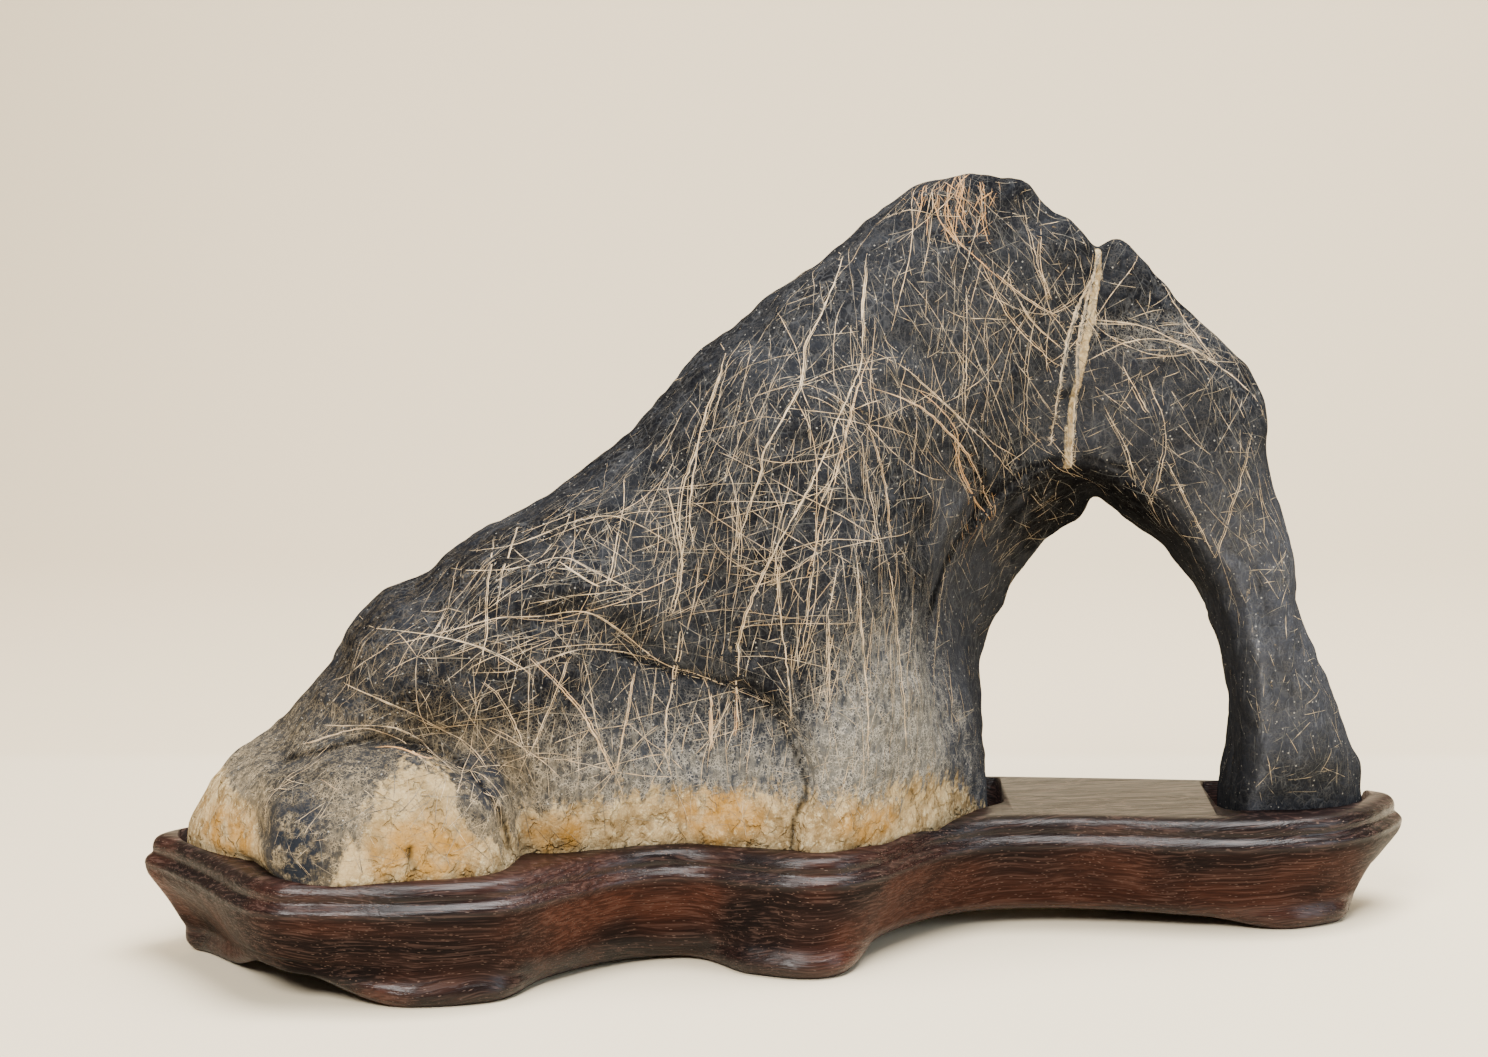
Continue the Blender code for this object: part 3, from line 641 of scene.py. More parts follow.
# How wide the threads of the families and the drawn ones are, as a share of what their tables say.
FAMILY_WIDTH = 0.88
HERO_WIDTH = 0.73
# The lowest that families, flecks and hairs start, how far right the flecks go, and how many there are.
FAMILIES_FROM = 44.0
FLECKS_FROM = 50.0
FLECKS_TO_X = 172.0
FLECKS = 2600
HAIRS_FROM = 46.0
HAIRS = 3200
# How far in front of the stone or behind it a ray starts.
RAY_START = 200.0
# The back has fewer threads: a share of each family, and the first lines and bursts of the front, moved.
BACK_SHARE = 0.8
BACK_HEROES = 7
BACK_HERO_MOVE = (9.0, -4.0)
BACK_BURSTS = 8
BACK_BURST_MOVE = (-12.0, 6.0)

# Families of threads. Each: middle x and z, half width and half height of where they start, how many, their
# direction in degrees from +x towards +z, its spread, shortest and longest, half width, brightness, warmth.
FAMILIES = [
    (-12, 150, 75, 90, 53, 76, 5, 26, 80, 0.064, 1, 0.12),
    (-34, 150, 26, 55, 29, 78, 3, 20, 60, 0.073, 1, 0.10),
    (0, 128, 40, 40, 38, 77, 6, 12, 40, 0.064, 1, 0.12),
    (-20, 135, 95, 95, 129, 80, 9, 7, 30, 0.039, 0.9, 0.1),
    (-45, 142, 85, 62, 60, 14, 13, 14, 48, 0.039, 0.85, 0.05),
    (64, 200, 46, 58, 130, -58, 7, 12, 52, 0.040, 0.72, 0.05),
    (40, 190, 40, 40, 29, -48, 8, 20, 60, 0.050, 0.9, 0.2),
    (55, 205, 50, 50, 26, 72, 9, 14, 46, 0.055, 0.85, 0.1),
    (55, 248, 16, 12, 110, 82, 24, 5, 14, 0.085, 0.95, 0.9),
    (60, 152, 11, 15, 12, -62, 7, 12, 30, 0.055, 1, 0.8),
    (124, 206, 26, 10, 52, -12, 22, 6, 22, 0.055, 0.85, 0.1),
    (142, 176, 32, 44, 105, -62, 8, 10, 40, 0.036, 0.68, 0.03),
    (130, 190, 34, 34, 21, 62, 12, 8, 30, 0.039, 0.75, 0.05),
    (172, 112, 24, 64, 22, -76, 9, 10, 34, 0.029, 0.6, 0.02),
    (-80, 128, 62, 34, 60, 10, 9, 16, 60, 0.049, 0.95, 0.05),
    (-88, 126, 52, 34, 52, 76, 7, 10, 34, 0.049, 0.95, 0.08),
    (-108, 144, 62, 20, 64, 34, 22, 8, 30, 0.045, 0.9, 0.06),
    (14, 205, 62, 46, 90, 72, 12, 8, 34, 0.034, 0.72, 0.04),
    (-62, 168, 52, 40, 80, -52, 16, 8, 30, 0.034, 0.72, 0.04),
    (-140, 98, 44, 30, 52, 22, 11, 10, 40, 0.049, 0.9, 0.05),
    (-130, 96, 60, 36, 95, 72, 20, 5, 20, 0.042, 0.9, 0.05),
    (-25, 78, 95, 30, 163, 86, 10, 8, 30, 0.054, 0.95, 0.08),
    (24, 86, 36, 46, 120, 88, 6, 8, 34, 0.040, 0.85, 0.04),
    (-142, 66, 46, 22, 115, 50, 50, 4, 15, 0.039, 0.85, 0.15),
    (-188, 62, 24, 26, 85, 40, 60, 4, 14, 0.039, 0.8, 0.12),
]

# The strongest threads, drawn one by one as (x, z), with their half width, brightness and warmth.
HEROES = [
    ([(17, 234), (6, 214), (0, 205), (-4, 192), (-17, 171), (-19, 162), (-28, 138)], 0.32, 1, 0.05),
    ([(24, 234), (20, 216), (18, 198), (9, 183), (1, 167), (-10, 148), (-20, 130)], 0.32, 1, 0.05),
    ([(-24, 203), (-34, 181), (-38, 168), (-41, 151), (-40, 137)], 0.30, 1, 0.1),
    ([(-27, 196), (-37, 172), (-44, 152), (-44, 131)], 0.24, 1, 0.1),
    ([(22, 201), (15, 188), (9, 172), (1, 149), (-6, 130)], 0.26, 1, 0.35),
    ([(19, 178), (24, 160), (25, 140)], 0.20, 1, 0.3),
    ([(-16, 137), (-22, 123), (-26, 110), (-27, 95), (-27, 79)], 0.30, 1, 0.1),
    ([(-15, 137), (-14, 117), (-12, 100), (-11, 82)], 0.28, 1, 0.1),
    ([(-3, 137), (-6, 117), (-9, 99)], 0.20, 0.9, 0.1),
    ([(5, 136), (1, 120), (1, 101), (1, 88)], 0.20, 0.9, 0.1),
    ([(11, 137), (12, 116), (14, 96), (14, 68)], 0.28, 1, 0.1),
    ([(22, 136), (26, 117), (28, 98), (30, 68)], 0.26, 0.95, 0.1),
    ([(53, 125), (49, 100), (45, 77)], 0.14, 0.8, 0.1),
    ([(-35, 90), (-36, 72)], 0.32, 1, 0.45),
    ([(-27, 92), (-28, 77)], 0.22, 0.9, 0.8),
    ([(-45, 111), (-47, 97), (-50, 85), (-51, 70)], 0.30, 1, 0.1),
    ([(-69, 66), (-77, 83), (-87, 96), (-96, 105)], 0.28, 1, 0.35),
    ([(-68, 66), (-65, 81), (-61, 97), (-60, 101)], 0.30, 1, 0.3),
    ([(-97, 73), (-89, 91), (-83, 105)], 0.18, 0.85, 0.1),
    ([(-97, 74), (-105, 92), (-111, 98)], 0.16, 0.85, 0.1),
    ([(-104, 141), (-108, 129), (-110, 112), (-114, 100)], 0.20, 0.9, 0.1),
    ([(-96, 145), (-103, 132), (-106, 122)], 0.18, 0.85, 0.1),
    ([(-61, 160), (-63, 148), (-70, 127)], 0.20, 0.9, 0.1),
    ([(-48, 158), (-46, 147), (-44, 131), (-48, 116)], 0.30, 1, 0.1),
    ([(-141, 109), (-120, 114), (-106, 118), (-92, 118), (-74, 118), (-52, 101), (-39, 96), (-17, 88)],
     0.22, 0.9, 0.1),
    ([(-119, 131), (-99, 133), (-84, 136), (-74, 132), (-57, 123)], 0.17, 0.85, 0.1),
    ([(-112, 136), (-93, 141), (-77, 147), (-63, 148), (-46, 139)], 0.17, 0.85, 0.1),
    ([(-115, 101), (-98, 102), (-77, 107), (-52, 101)], 0.14, 0.8, 0.1),
    ([(-85, 135), (-79, 131), (-72, 127)], 0.24, 0.9, 0.05),
    ([(-158, 110), (-137, 113), (-111, 109), (-94, 99)], 0.20, 0.9, 0.05),
    ([(-172, 97), (-155, 95), (-138, 90), (-122, 81)], 0.20, 0.9, 0.05),
    ([(-169, 76), (-152, 82), (-142, 81), (-126, 72)], 0.22, 0.9, 0.2),
    ([(-162, 82), (-139, 83), (-122, 71)], 0.20, 0.9, 0.1),
    ([(-132, 86), (-117, 78), (-110, 70)], 0.18, 0.9, 0.1),
    ([(-146, 77), (-138, 77.5), (-128, 75)], 0.50, 0.9, 0.9),
    ([(47, 253), (51, 242), (58, 235), (67, 227), (71, 224)], 0.24, 1, 0.8),
    ([(53, 257), (52, 247), (55, 238)], 0.20, 1, 0.9),
    ([(59, 259), (55, 246), (54, 240)], 0.20, 1, 0.9),
    ([(64, 258), (64, 243), (66, 237)], 0.20, 1, 0.9),
    ([(57, 223), (57, 201), (56, 177)], 0.20, 1, 0.1),
    ([(63, 230), (72, 213), (86, 199), (92, 195)], 0.18, 0.95, 0.2),
    ([(68, 227), (80, 218), (91, 212)], 0.20, 0.95, 0.2),
    ([(72, 226), (80, 212), (92, 201)], 0.22, 0.95, 0.15),
    ([(22, 202), (35, 195), (48, 184), (64, 170), (77, 157)], 0.18, 0.95, 0.1),
    ([(21, 190), (39, 183), (54, 170), (61, 161), (71, 144)], 0.24, 1, 0.45),
    ([(38, 189), (52, 176), (56, 159), (66, 145)], 0.20, 1, 0.6),
    ([(52, 170), (59, 155), (70, 141)], 0.20, 1, 0.8),
    ([(85, 242), (84, 230), (88, 218)], 0.16, 0.9, 0.3),
    ([(79, 252), (83, 231), (88, 218)], 0.14, 0.9, 0.1),
    ([(82, 212), (80, 194), (81, 171)], 0.13, 0.9, 0.05),
    ([(103, 211), (119, 209), (131, 204), (147, 195), (161, 183), (165, 175)], 0.22, 0.9, 0.15),
    ([(101, 197), (114, 203), (127, 204), (142, 199)], 0.18, 0.85, 0.05),
    ([(130, 223), (137, 210), (146, 197)], 0.22, 0.95, 0.1),
    ([(113, 195), (117, 188), (122, 179)], 0.26, 0.95, 0.1),
    ([(122, 190), (128, 171), (124, 147)], 0.16, 0.85, 0.1),
    ([(107, 181), (115, 166), (119, 153)], 0.14, 0.85, 0.05),
    ([(128, 163), (136, 148), (147, 128)], 0.14, 0.85, 0.05),
    ([(158, 172), (152, 148), (147, 128)], 0.14, 0.85, 0.05),
]

# Where threads burst out from one point: x, z, how many and how long.
BURSTS = [
    (19, 178, 7, 26), (-4, 192, 5, 24), (-18, 163, 6, 24), (-2, 138, 7, 22), (-15, 137, 7, 22),
    (10, 182, 5, 22), (-36, 76, 7, 16), (-51, 71, 6, 14), (-69, 67, 7, 20), (-77, 81, 5, 16),
    (-97, 74, 6, 18), (-114, 84, 6, 18), (-153, 98, 6, 14), (-132, 106, 6, 14), (-121, 120, 5, 14),
    (-160, 94, 5, 12), (88, 213, 6, 14), (64, 212, 5, 18), (48, 184, 5, 24), (103, 210, 6, 18),
    (47, 247, 6, 12), (-116, 70, 7, 10), (-177, 66, 7, 12), (-108, 62, 6, 8),
]

# The pale fill of the seam and of its fork: each a line with its half width at every point.
SEAMS = [
    ([(107, 233), (102, 220), (98, 203), (98, 185), (97, 160)], [0.7, 0.8, 0.7, 0.65, 0.30]),
    ([(104, 226), (97, 214), (93, 198), (91, 182), (90, 168)], [0.7, 0.8, 0.62, 0.35, 0.12]),
]


def level(turn):
    """The direction in the plane of the front that is turned so far from +x towards +z."""
    return Vector((math.cos(turn), 0.0, math.sin(turn)))


class Threads:
    """Collects flat ribbons that lie on the stone."""

    def __init__(self, skin, seed):
        self.random = np.random.default_rng(seed)
        self.points, self.out = points_of(skin.data)
        polygons = [tuple(face.vertices) for face in skin.data.polygons]
        self.skin = BVHTree.FromPolygons([Vector(p) for p in self.points], polygons)
        self.verts, self.faces, self.shade, self.warm = [], [], [], []

    def drop(self, x, z, front):
        """The point of the front or back surface at that x and z, or None."""
        start = Vector((x, -RAY_START if front else RAY_START, z))
        hit, normal, _, _ = self.skin.ray_cast(start, Vector((0, 1 if front else -1, 0)))
        return (hit, normal) if hit is not None else None

    def walk(self, start, normal, heading, length, bend):
        """Steps over the surface from a point, turning by bend radians a step."""
        path = [(start, normal)]
        ahead = heading - normal * heading.dot(normal)
        if ahead.length < 0.2:
            return path
        ahead.normalize()
        for _ in range(max(2, round(length / STEP))):
            turn = bend + self.random.normal(0.0, WANDER)
            ahead = (ahead + normal.cross(ahead) * turn).normalized()
            hit, normal, _, gap = self.skin.find_nearest(start + ahead * STEP)
            if hit is None or gap > STEP or hit.z < LOWEST:
                break
            ahead = ahead - normal * ahead.dot(normal)
            if ahead.length < 0.1:
                break
            ahead.normalize()
            start = hit
            path.append((hit, normal))
        return path

    def ribbon(self, path, half, shade, warm, taper=True):
        """A flat strip along a path, of uneven width and tone."""
        if len(path) < 3:
            return
        first = len(self.verts)
        count = len(path)
        halves = np.broadcast_to(half, count)
        for i, (point, normal) in enumerate(path):
            before = path[max(i - 1, 0)][0]
            after = path[min(i + 1, count - 1)][0]
            across = normal.cross(after - before).normalized()
            width = halves[i]
            if taper:
                t = i / (count - 1)
                width *= min(1.0, 0.25 + 3.5 * t * (1.3 - t) * 1.2, 0.15 + 5.0 * (1.0 - t))
            width = max(width * (1.0 + UNEVEN * self.random.normal()), THINNEST)
            middle = point + normal * LIFT
            self.verts += [middle - across * width, middle + across * width]
            tone = max(0.0, min(1.0, shade + MOTTLED * self.random.normal()))
            self.shade += [tone, tone]
            self.warm += [warm, warm]
        for i in range(count - 1):
            a = first + 2 * i
            self.faces.append((a, a + 1, a + 3, a + 2))

    def thorn(self, point, heading, normal, length, half, shade, warm):
        """A tiny flat spike that stands beside a thread."""
        first = len(self.verts)
        across = normal.cross(heading) * half
        root = point + normal * LIFT
        self.verts += [root - across, root + across, root + heading * length]
        self.shade += [shade] * 3
        self.warm += [warm] * 3
        self.faces.append((first, first + 1, first + 2))

    def barbs(self, path, half, shade, warm, apart):
        """Thorns on both sides of a thread, about so far apart."""
        for i in range(1, len(path) - 1):
            along = path[i + 1][0] - path[i - 1][0]
            if along.length < 0.1:
                continue
            ahead = along.normalized()
            normal = path[i][1]
            for _ in range(self.random.poisson(STEP / apart)):
                side = normal.cross(ahead) * self.random.choice((-1.0, 1.0))
                heading = (ahead * self.random.normal(0.0, 0.6) + side).normalized()
                point = path[i][0] + ahead * self.random.uniform(-1.0, 1.0)
                self.thorn(point, heading, normal, self.random.uniform(0.6, 2.4), half, shade, warm)

    def scattered(self, chosen, count, power, least):
        """Random ones of the chosen points, with their normals: more where the face looks forward or back."""
        chance = np.abs(self.out[chosen, 1]) ** power + least
        for index in self.random.choice(chosen, count, p=chance / chance.sum()):
            yield Vector(self.points[index]), Vector(self.out[index])

    def family(self, row, front, share):
        """Threads that start all over one part of the stone and run much the same way."""
        mid_x, mid_z, half_x, half_z, count, angle, spread, short, long, half, shade, warm = row
        x, _, z = self.points.T
        away = np.hypot((x - mid_x) / half_x, (z - mid_z) / half_z)
        facing = self.out[:, 1] < 0.3 if front else self.out[:, 1] > 0.3
        chosen = np.flatnonzero((away < 1.0) & facing & (z > FAMILIES_FROM))
        for found in self.scattered(chosen, round(count * share), 2, 0.03):
            heading = level(math.radians(angle + self.random.normal(0.0, spread)))
            length = short + (long - short) * self.random.random() ** 1.6
            path = self.walk(*found, heading, length, self.random.normal(0.0, 0.012))
            factor = math.exp(0.38 * self.random.normal())
            thick = FAMILY_WIDTH * half * min(factor, 2.2)
            tint = float(np.clip(warm + 0.12 * self.random.normal(), 0.0, 1.0))
            bright = shade * min(1.05, 0.12 + 0.44 * factor)
            self.ribbon(path, thick, bright, tint)
            self.barbs(path, 0.05, bright * 0.9, tint, 8.0)

    def hero(self, line, half, shade, warm, front=True):
        """One strong thread along a line, with a thinner one beside a part of it."""
        path = []
        for x, z in curve_through(line, STEP, False):
            found = self.drop(x + 0.16 * self.random.normal(), z, front)
            if found is not None:
                path.append(found)
        self.ribbon(path, HERO_WIDTH * half, 0.90 * shade, warm)
        self.barbs(path, 0.07, 0.9 * shade, warm, 2.0)
        start = self.random.integers(0, max(1, len(path) // 2))
        shift = self.random.choice((-1.0, 1.0)) * self.random.uniform(0.5, 1.3)
        beside = [(p + n.cross(UP) * shift, n) for p, n in path[start:]]
        self.ribbon(beside[:self.random.integers(6, 24)], 0.4 * half, shade * 0.9, warm)

    def burst(self, x, z, count, length, front=True):
        """Threads that run out from one point on all sides."""
        found = self.drop(x, z, front)
        if found is None:
            return
        first = self.random.uniform(0.0, 2.0 * math.pi)
        for i in range(count):
            turn = first + 2.0 * math.pi * (i + self.random.uniform(-0.45, 0.45)) / count
            reach = length * math.exp(0.5 * self.random.normal())
            path = self.walk(*found, level(turn), min(reach, 2.0 * length), self.random.normal(0, 0.03))
            self.ribbon(path[::-1], 0.10, 0.75, 0.15)
            self.barbs(path, 0.05, 0.8, 0.15, 6.0)

    def seam(self, line, halves, front=True):
        """The flat fill of a crack: three uneven strips of different tone, with ragged edges."""
        curve = curve_through([(x, z, half) for (x, z), half in zip(line, halves)], 1.0, False)
        path = []
        for x, z, half in curve:
            found = self.drop(x + 0.15 * self.random.normal(), z, front)
            if found is not None:
                path.append((found, half))
        for shift, wide, tone in ((0.0, 1.0, 0.55), (0.35, 0.40, 0.72), (-0.45, 0.35, 0.42)):
            run = [(p + n.cross(UP) * shift * half + n * 0.03 * abs(shift), n) for (p, n), half in path]
            self.ribbon(run, np.array([wide * half for _, half in path]), tone, 0.06, taper=False)
        self.barbs([found for found, _ in path], 0.10, 0.7, 0.05, 0.7)

    def flecks(self, count):
        """Short strokes and dots scattered between the threads."""
        chosen = np.flatnonzero((self.points[:, 0] < FLECKS_TO_X) & (self.points[:, 2] > FLECKS_FROM))
        for point, normal in self.scattered(chosen, count, 2, 0.02):
            turn = math.radians(self.random.choice((80.0, -55.0)) + self.random.normal(0.0, 35.0))
            heading = level(turn)
            heading = (heading - normal * heading.dot(normal)).normalized()
            length = self.random.choice((0.45, 1.2, 2.2)) * self.random.uniform(0.7, 1.3)
            half = 0.20 if length < 0.6 else 0.08
            tone = self.random.uniform(0.2, 0.65)
            self.thorn(point, heading, normal, length, half, tone, 0.05)

    def hairs(self, count):
        """Hair-thin grey threads all over the stone, edges and jambs as well."""
        for point, normal in self.scattered(np.arange(len(self.points)), count, 1.5, 0.02):
            if point.z < HAIRS_FROM:
                continue
            turn = math.radians(self.random.choice((78.0, -60.0, 15.0)) + self.random.normal(0.0, 14.0))
            heading = Vector((math.cos(turn), self.random.normal(0.0, 0.35), math.sin(turn))).normalized()
            path = self.walk(point, normal, heading, self.random.uniform(4.0, 16.0),
                             self.random.normal(0.0, 0.03))
            self.ribbon(path, self.random.uniform(0.05, 0.09), self.random.uniform(0.28, 0.68), 0.05)

    def finish(self, name, material):
        """Makes one object of all the ribbons, which goes wherever the stone goes."""
        mesh = bpy.data.meshes.new(name)
        mesh.from_pydata([v * MM for v in self.verts], [], self.faces)
        mesh.shade_smooth()
        attach(mesh, "shade", self.shade)
        attach(mesh, "warm", self.warm)
        dress(mesh, material)
        made = new_object(name, mesh)
        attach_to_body(made, "root")


def build_threads(skin):
    """The threads of the front and the back, and the hairs all round."""
    material = calcite()
    front = Threads(skin, 3)
    for row in FAMILIES:
        front.family(row, True, 1.0)
    for hero in HEROES:
        front.hero(*hero)
    for burst in BURSTS:
        front.burst(*burst)
    for seam in SEAMS:
        front.seam(*seam)
    front.flecks(FLECKS)
    front.finish("front_threads", material)
    back = Threads(skin, 5)
    for row in FAMILIES:
        back.family(row, False, BACK_SHARE)
    dx, dz = BACK_HERO_MOVE
    for line, half, shade, warm in HEROES[:BACK_HEROES]:
        back.hero([(x + dx, z + dz) for x, z in line], half, shade, warm, False)
    dx, dz = BACK_BURST_MOVE
    for x, z, count, length in BURSTS[:BACK_BURSTS]:
        back.burst(x + dx, z + dz, count, length, False)
    for seam in SEAMS[:1]:
        back.seam(*seam, front=False)
    back.finish("back_threads", material)
    hairs = Threads(skin, 9)
    hairs.hairs(HAIRS)
    hairs.finish("hair_threads", material)


# ======== the stand's mesh

def spaced(points, count):
    """The given number of points, evenly spaced round a closed line, and its length."""
    ring = np.vstack([points, points[:1]])
    along = np.concatenate([[0.0], np.cumsum(np.linalg.norm(np.diff(ring, axis=0), axis=1))])
    wanted = np.arange(count) * along[-1] / count
    return np.stack([np.interp(wanted, along, ring[:, k]) for k in range(2)], axis=1), along[-1]


def outward(ring):
    """The outward direction at each point of a line that runs counter-clockwise seen from above."""
    along = np.roll(ring, -1, axis=0) - np.roll(ring, 1, axis=0)
    along /= np.linalg.norm(along, axis=1)[:, None]
    return np.stack([along[:, 1], -along[:, 0]], axis=1)


def smoothed(ring, spread, length):
    """The line with its waves ironed out by a round average along it."""
    count = len(ring)
    index = np.arange(count)
    away = np.minimum(index, count - index) * length / count
    weight = np.exp(-((away / spread) ** 2))
    spectrum = np.fft.fft(weight / weight.sum())
    return np.stack([np.real(np.fft.ifft(np.fft.fft(ring[:, k]) * spectrum)) for k in range(2)], axis=1)


def nearness(along, place, length, half, before, after):
    """1 within half of a place on the closed line, easing to 0 over its own distance on either side."""
    away = (along - place + 0.5 * length) % length - 0.5 * length
    return 1.0 - eased(half, half + np.where(away < 0.0, before, after), np.abs(away))


def feet_and_edge(ring, length):
    """For each point of the plan: its share of a foot, how far that leans in, and the edge's height."""
    along = np.arange(len(ring)) * length / len(ring)
    foot, set_in, edge = np.zeros((3, len(ring)))

    def place_of(x, y):
        return along[np.argmin(np.hypot(ring[:, 0] - x, ring[:, 1] - y))]

    places = [place_of(*row[:2]) for row in FEET]
    for i, (_, _, half, inset, rise, before, after) in enumerate(FEET):
        share = nearness(along, places[i], length, half, before, after)
        set_in += inset * share
        foot = np.maximum(foot, share)
        start = places[i] + half
        span = (places[(i + 1) % len(FEET)] - FEET[(i + 1) % len(FEET)][2] - start) % length
        u = ((along - start) % length) / span
        arch = rise * np.sin(np.pi * np.clip(u, 0.0, 1.0)) ** ARCH_POWER
        edge = np.maximum(edge, np.where(u < 1.0, arch, 0.0))
    x, y, half, inset, ease = TIP_TUCK
    set_in += inset * nearness(along, place_of(x, y), length, half, ease, ease)
    return foot, set_in, edge


def stand_levels():
    """Every ring of the stand: from the flat top down the side, under the sole and up the hollow's wall."""
    ring, length = spaced(curve_through(PLAN, 2.0, True), PLAN_STEPS)
    ring = smoothed(ring, RIM_SMOOTHING, length)
    out = outward(ring)
    foot, set_in, edge = feet_and_edge(ring, length)
    inner = smoothed(ring, HOLLOW_SMOOTHING, length)
    inner_out = outward(inner)
    side_out = outward(smoothed(ring, LEAN_SMOOTHING, length))
    levels = [(ring - inset * out, np.full(len(ring), height)) for inset, height in MOULDING]
    sides = []
    for i, (at_foot, at_arch) in enumerate(zip(SIDE_AT_FOOT, SIDE_AT_ARCH)):
        lower = min(1.0, LEAN * i / (len(SIDE_AT_FOOT) - 1))
        inset = at_arch[0] + (at_foot[0] - at_arch[0]) * foot + set_in * lower
        arch_height = at_arch[1] if i < FIXED_HEIGHTS else at_arch[1] + edge
        sides.append((inset, arch_height + (at_foot[1] - arch_height) * foot))
    start = np.stack([np.full(len(ring), MOULDING[-1][0]), np.full(len(ring), MOULDING[-1][1])])
    track = np.array([start] + [np.stack(side) for side in sides])
    # A step as long as this puts one more ring between every two.
    fine = curve_through(track.reshape(len(track), -1), 1e9, False).reshape(-1, 2, len(ring))
    fine[:, 1] = np.maximum(fine[:, 1], 0.0)
    for inset, height in fine[1:]:
        levels.append((ring - inset[:, None] * side_out, height))
    bottom = levels[-1][1]
    levels.append((inner - WALL_INSET * inner_out, bottom))
    levels.append((inner - (WALL_INSET + WALL_DRAFT) * inner_out, np.full(len(ring), HOLLOW_TOP)))
    return levels


def set_ring(ring, plan, heights):
    """Puts the points of a ring on a plan at its heights."""
    for vert, (x, y), z in zip(ring, plan, heights):
        vert.co = (x * MM, y * MM, z * MM)


def build_stand():
    """The stand: a shell drawn from ring to ring, with the sockets cut into it."""
    levels = stand_levels()
    shell = bmesh.new()
    bmesh.ops.create_circle(shell, segments=PLAN_STEPS, radius=1.0)
    ring = sorted(shell.verts, key=lambda vert: vert.index)
    set_ring(ring, *levels[0])
    first = list(shell.edges)
    edges = first
    for plan, heights in levels[1:]:
        grown = bmesh.ops.extrude_edge_only(shell, edges=edges)["geom"]
        fresh = {item for item in grown if isinstance(item, bmesh.types.BMVert)}
        ring = [next(e.other_vert(v) for e in v.link_edges if e.other_vert(v) in fresh) for v in ring]
        edges = [item for item in grown if isinstance(item, bmesh.types.BMEdge) and item.is_boundary]
        set_ring(ring, plan, heights)
    bmesh.ops.triangle_fill(shell, use_beauty=True, edges=edges)
    bmesh.ops.triangle_fill(shell, use_beauty=True, edges=first)
    bmesh.ops.recalc_face_normals(shell, faces=shell.faces)
    stand = object_from("stand_piece", shell)
    cutter = socket_cutter()
    cut = stand.modifiers.new("sockets", "BOOLEAN")
    cut.operation = "DIFFERENCE"
    cut.solver = "EXACT"
    cut.object = cutter
    carved = applied(stand)
    bpy.data.objects.remove(cutter)
    carved.set_sharp_from_angle(angle=SHARP_EDGE)
    points, out = points_of(carved)
    z = points[:, 2]
    rubbed = eased(0.25, 0.6, -out[:, 1]) * np.maximum(eased(29.0, 31.5, z), eased(10.0, 7.0, z))
    attach(carved, "polish", np.maximum(rubbed, 0.45 * eased(0.9, 0.99, out[:, 2])))
    dress(carved, rosewood())
    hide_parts("stand")
    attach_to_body(stand, "root")


def socket_cutter():
    """The stone's own contour just above the socket floor, a little wider, carried up past the rim."""
    contour = merged("stone")
    geometry = contour.verts[:] + contour.edges[:] + contour.faces[:]
    bmesh.ops.bisect_plane(contour, geom=geometry, plane_co=UP * CONTOUR_HEIGHT * MM, plane_no=UP,
                           clear_inner=True, clear_outer=True)
    bmesh.ops.remove_doubles(contour, verts=contour.verts, dist=CONTOUR_STEP * MM)
    bmesh.ops.triangle_fill(contour, use_beauty=True, edges=contour.edges)
    for vert in contour.verts:
        vert.co.z = SOCKET_FLOOR * MM
    moves = {}
    for edge in [edge for edge in contour.edges if edge.is_boundary]:
        middle = 0.5 * (edge.verts[0].co + edge.verts[1].co)
        away = (edge.verts[1].co - edge.verts[0].co).normalized().cross(UP)
        if away.dot(middle - edge.link_faces[0].calc_center_median()) < 0:
            away.negate()
        for vert in edge.verts:
            moves.setdefault(vert, []).append(away)
    for vert, directions in moves.items():
        away = sum(directions[1:], directions[0].copy()).normalized()
        x = vert.co.x / MM
        gap = SIDE_GAP
        if ARCH_FROM < x < ARCH_TO:
            gap += ARCH_SIDE_GAP * max(0.0, away.x if x < ARCH_MIDDLE else -away.x) ** 2
        elif x < LEFT_TIP[0]:
            gap += LEFT_TIP[1] * max(0.0, -away.x)
        elif x > RIGHT_TIP[0]:
            gap += RIGHT_TIP[1] * max(0.0, away.x)
        vert.co += away * gap * MM
    top = bmesh.ops.extrude_face_region(contour, geom=contour.faces[:])
    for item in top["geom"]:
        if isinstance(item, bmesh.types.BMVert):
            item.co.z = CUTTER_TOP * MM
    bmesh.ops.recalc_face_normals(contour, faces=contour.faces)
    return object_from("socket_cutter", contour)


# ======== the stage

# The camera: its place in metres, its turns and its lens.
CAMERA_AT = Vector((-0.1884, -0.962, 0.262))
CAMERA_PITCH = math.radians(7.05)
CAMERA_AZIMUTH = math.radians(-10.0)
CAMERA_LENS = 70.09
# The stage in metres from the object: the wall and the radius of the cove in front of it, how far the floor
# reaches the other way, the wall's height and half the width.
WALL_DISTANCE = 1.75
COVE = 0.8
COVE_STEPS = 24
FLOOR_REACH = 5.0
WALL_HEIGHT = 4.0
HALF_WIDTH = 5.0
# In millimetres: how far behind the object the floor's tone turns into the wall's, half the width of that
# soft line, and from where to where painted shade darkens the paper to the left.
FLOOR_LINE = 302.0
FLOOR_SOFT = 14.0
SHADE_FROM = -40.0
SHADE_TO = -520.0
SKY_STRENGTH = 0.2

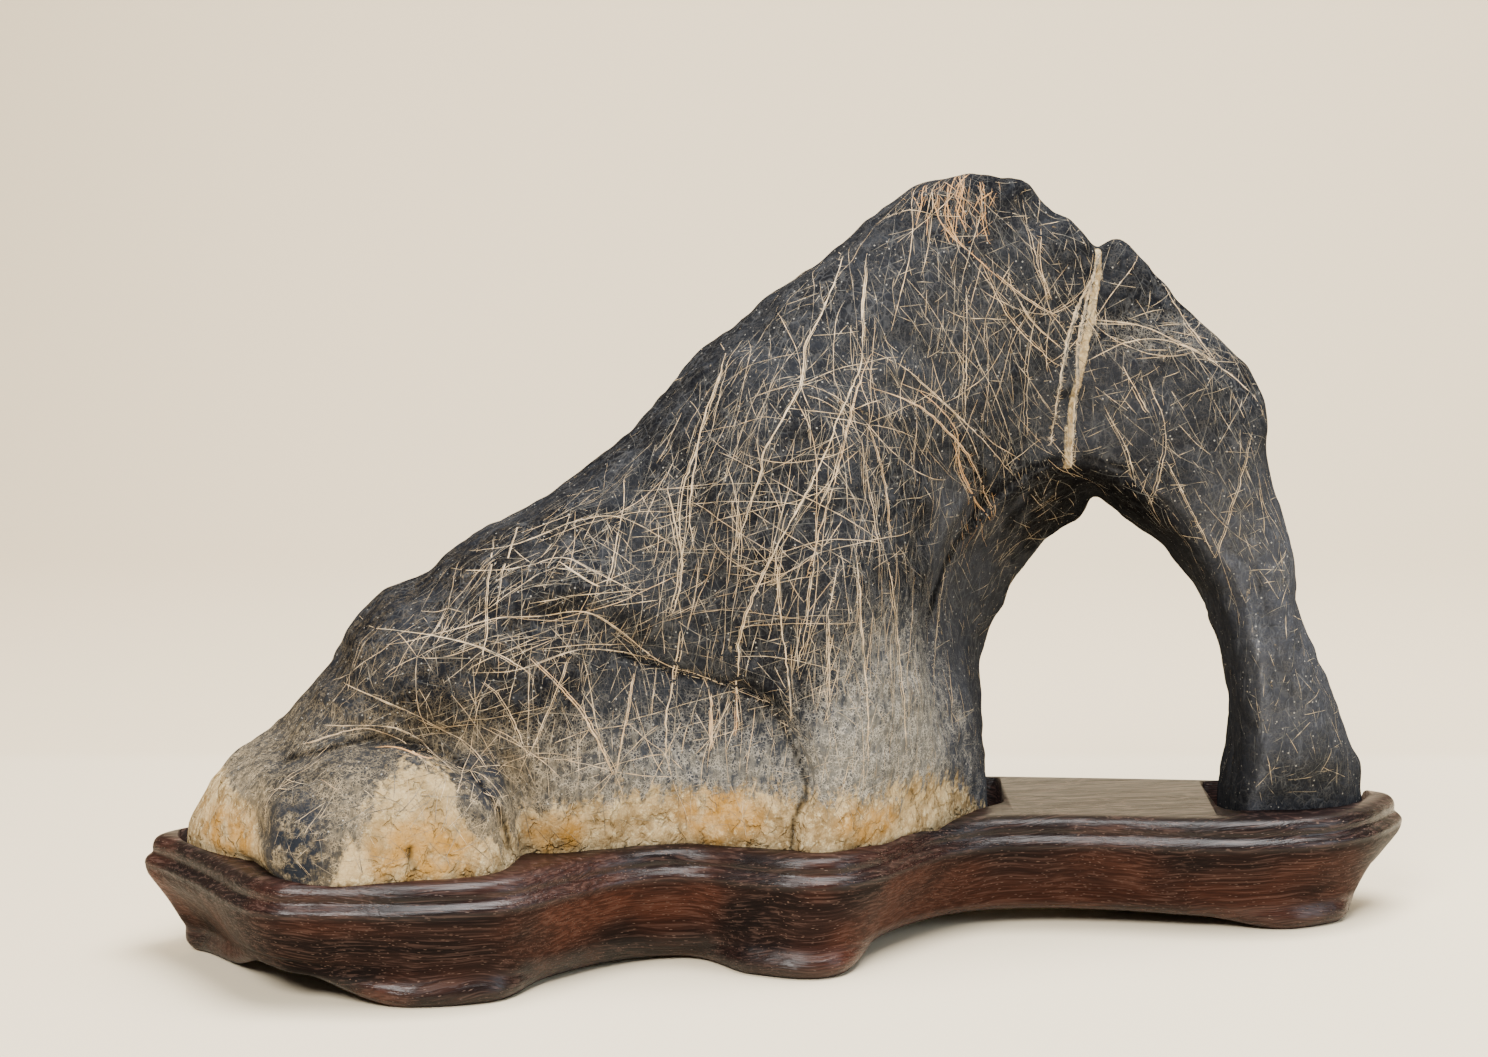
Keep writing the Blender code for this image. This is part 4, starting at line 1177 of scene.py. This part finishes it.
# Each lamp, in metres and watts: name, place, what it points at, size, power and tint.
LAMPS = [
    ("key", (-0.95, -1.35, 1.45), (0.0, 0.0, 0.1), (1.0, 0.8), 70.0, (1.0, 0.97, 0.93)),
    ("top", (0.28, -0.15, 1.6), (0.10, 0.05, 0.0), (1.2, 1.0), 58.0, (1.0, 0.98, 0.96)),
    ("wall_wash", (0.55, 0.45, 2.2), (0.5, 1.7, 0.35), (2.4, 0.8), 60.0, (1.0, 0.98, 0.96)),
    ("cool_fill", (1.15, -0.75, 0.55), (0.1, 0.0, 0.1), (0.7, 0.7), 9.0, (0.80, 0.90, 1.0)),
]


def add_camera():
    data = bpy.data.cameras.new("camera")
    data.lens = CAMERA_LENS
    data.sensor_width = 36.0
    camera = new_object("camera", data)
    camera.location = CAMERA_AT
    camera.rotation_euler = (math.pi / 2 - CAMERA_PITCH, 0.0, CAMERA_AZIMUTH)
    bpy.context.scene.camera = camera


def studio_paper():
    """Matt warm paper: a little lighter where it lies as the floor near the object, and darker to the left
    with painted shade.
    """
    made, shader, place = new_material("studio_paper")
    away = add("VectorMath", place, wall_way(), operation="DOT_PRODUCT")
    wall = add("MapRange", away, FLOOR_LINE - FLOOR_SOFT, FLOOR_LINE + FLOOR_SOFT)
    # Painted shade that darkens the paper to the left.
    painted_left_shade = add("MapRange", add("SeparateXYZ", place), SHADE_FROM, SHADE_TO)
    finish_with(shader, lay(add("Mix", wall, "e6d8bc", "e0d0b2"), (painted_left_shade, 0.5, "cdbb9d")), 0.9, 0.5)
    return made


def wall_way():
    """The level direction in which the camera looks."""
    return Vector((-math.sin(CAMERA_AZIMUTH), math.cos(CAMERA_AZIMUTH), 0.0))


def add_stage():
    """A wide floor that runs up into a wall far behind the object through a large cove."""
    back = wall_way()
    right = back.cross(UP)
    profile = [(-FLOOR_REACH, 0.0), (WALL_DISTANCE - COVE, 0.0)]
    for i in range(1, COVE_STEPS + 1):
        turn = 0.5 * math.pi * i / COVE_STEPS
        profile.append((WALL_DISTANCE - COVE + COVE * math.sin(turn), COVE - COVE * math.cos(turn)))
    profile.append((WALL_DISTANCE, WALL_HEIGHT))
    sheet = bmesh.new()
    verts = [sheet.verts.new(back * away - right * HALF_WIDTH + UP * height) for away, height in profile]
    edges = [sheet.edges.new(pair) for pair in zip(verts, verts[1:])]
    grown = bmesh.ops.extrude_edge_only(sheet, edges=edges)["geom"]
    far = [item for item in grown if isinstance(item, bmesh.types.BMVert)]
    bmesh.ops.translate(sheet, verts=far, vec=right * 2.0 * HALF_WIDTH)
    bmesh.ops.recalc_face_normals(sheet, faces=sheet.faces)
    backdrop = object_from("backdrop", sheet)
    backdrop.data.shade_smooth()
    dress(backdrop.data, studio_paper())


def add_lights():
    for name, at, target, size, power, tint in LAMPS:
        data = bpy.data.lights.new(name, "AREA")
        data.shape = "RECTANGLE"
        data.size, data.size_y = size
        data.energy = power
        data.color = tint
        light = new_object(name, data)
        light.location = at
        light.rotation_euler = (Vector(target) - Vector(at)).to_track_quat("-Z", "Y").to_euler()
    world = bpy.data.worlds.new("studio")
    world.use_nodes = True
    shade = world.node_tree.nodes["Background"]
    shade.inputs["Color"].default_value = colour("efe9e0")
    shade.inputs["Strength"].default_value = SKY_STRENGTH
    bpy.context.scene.world = world


stone = build_stone()
build_threads(stone)
build_stand()
add_camera()
add_stage()
add_lights()
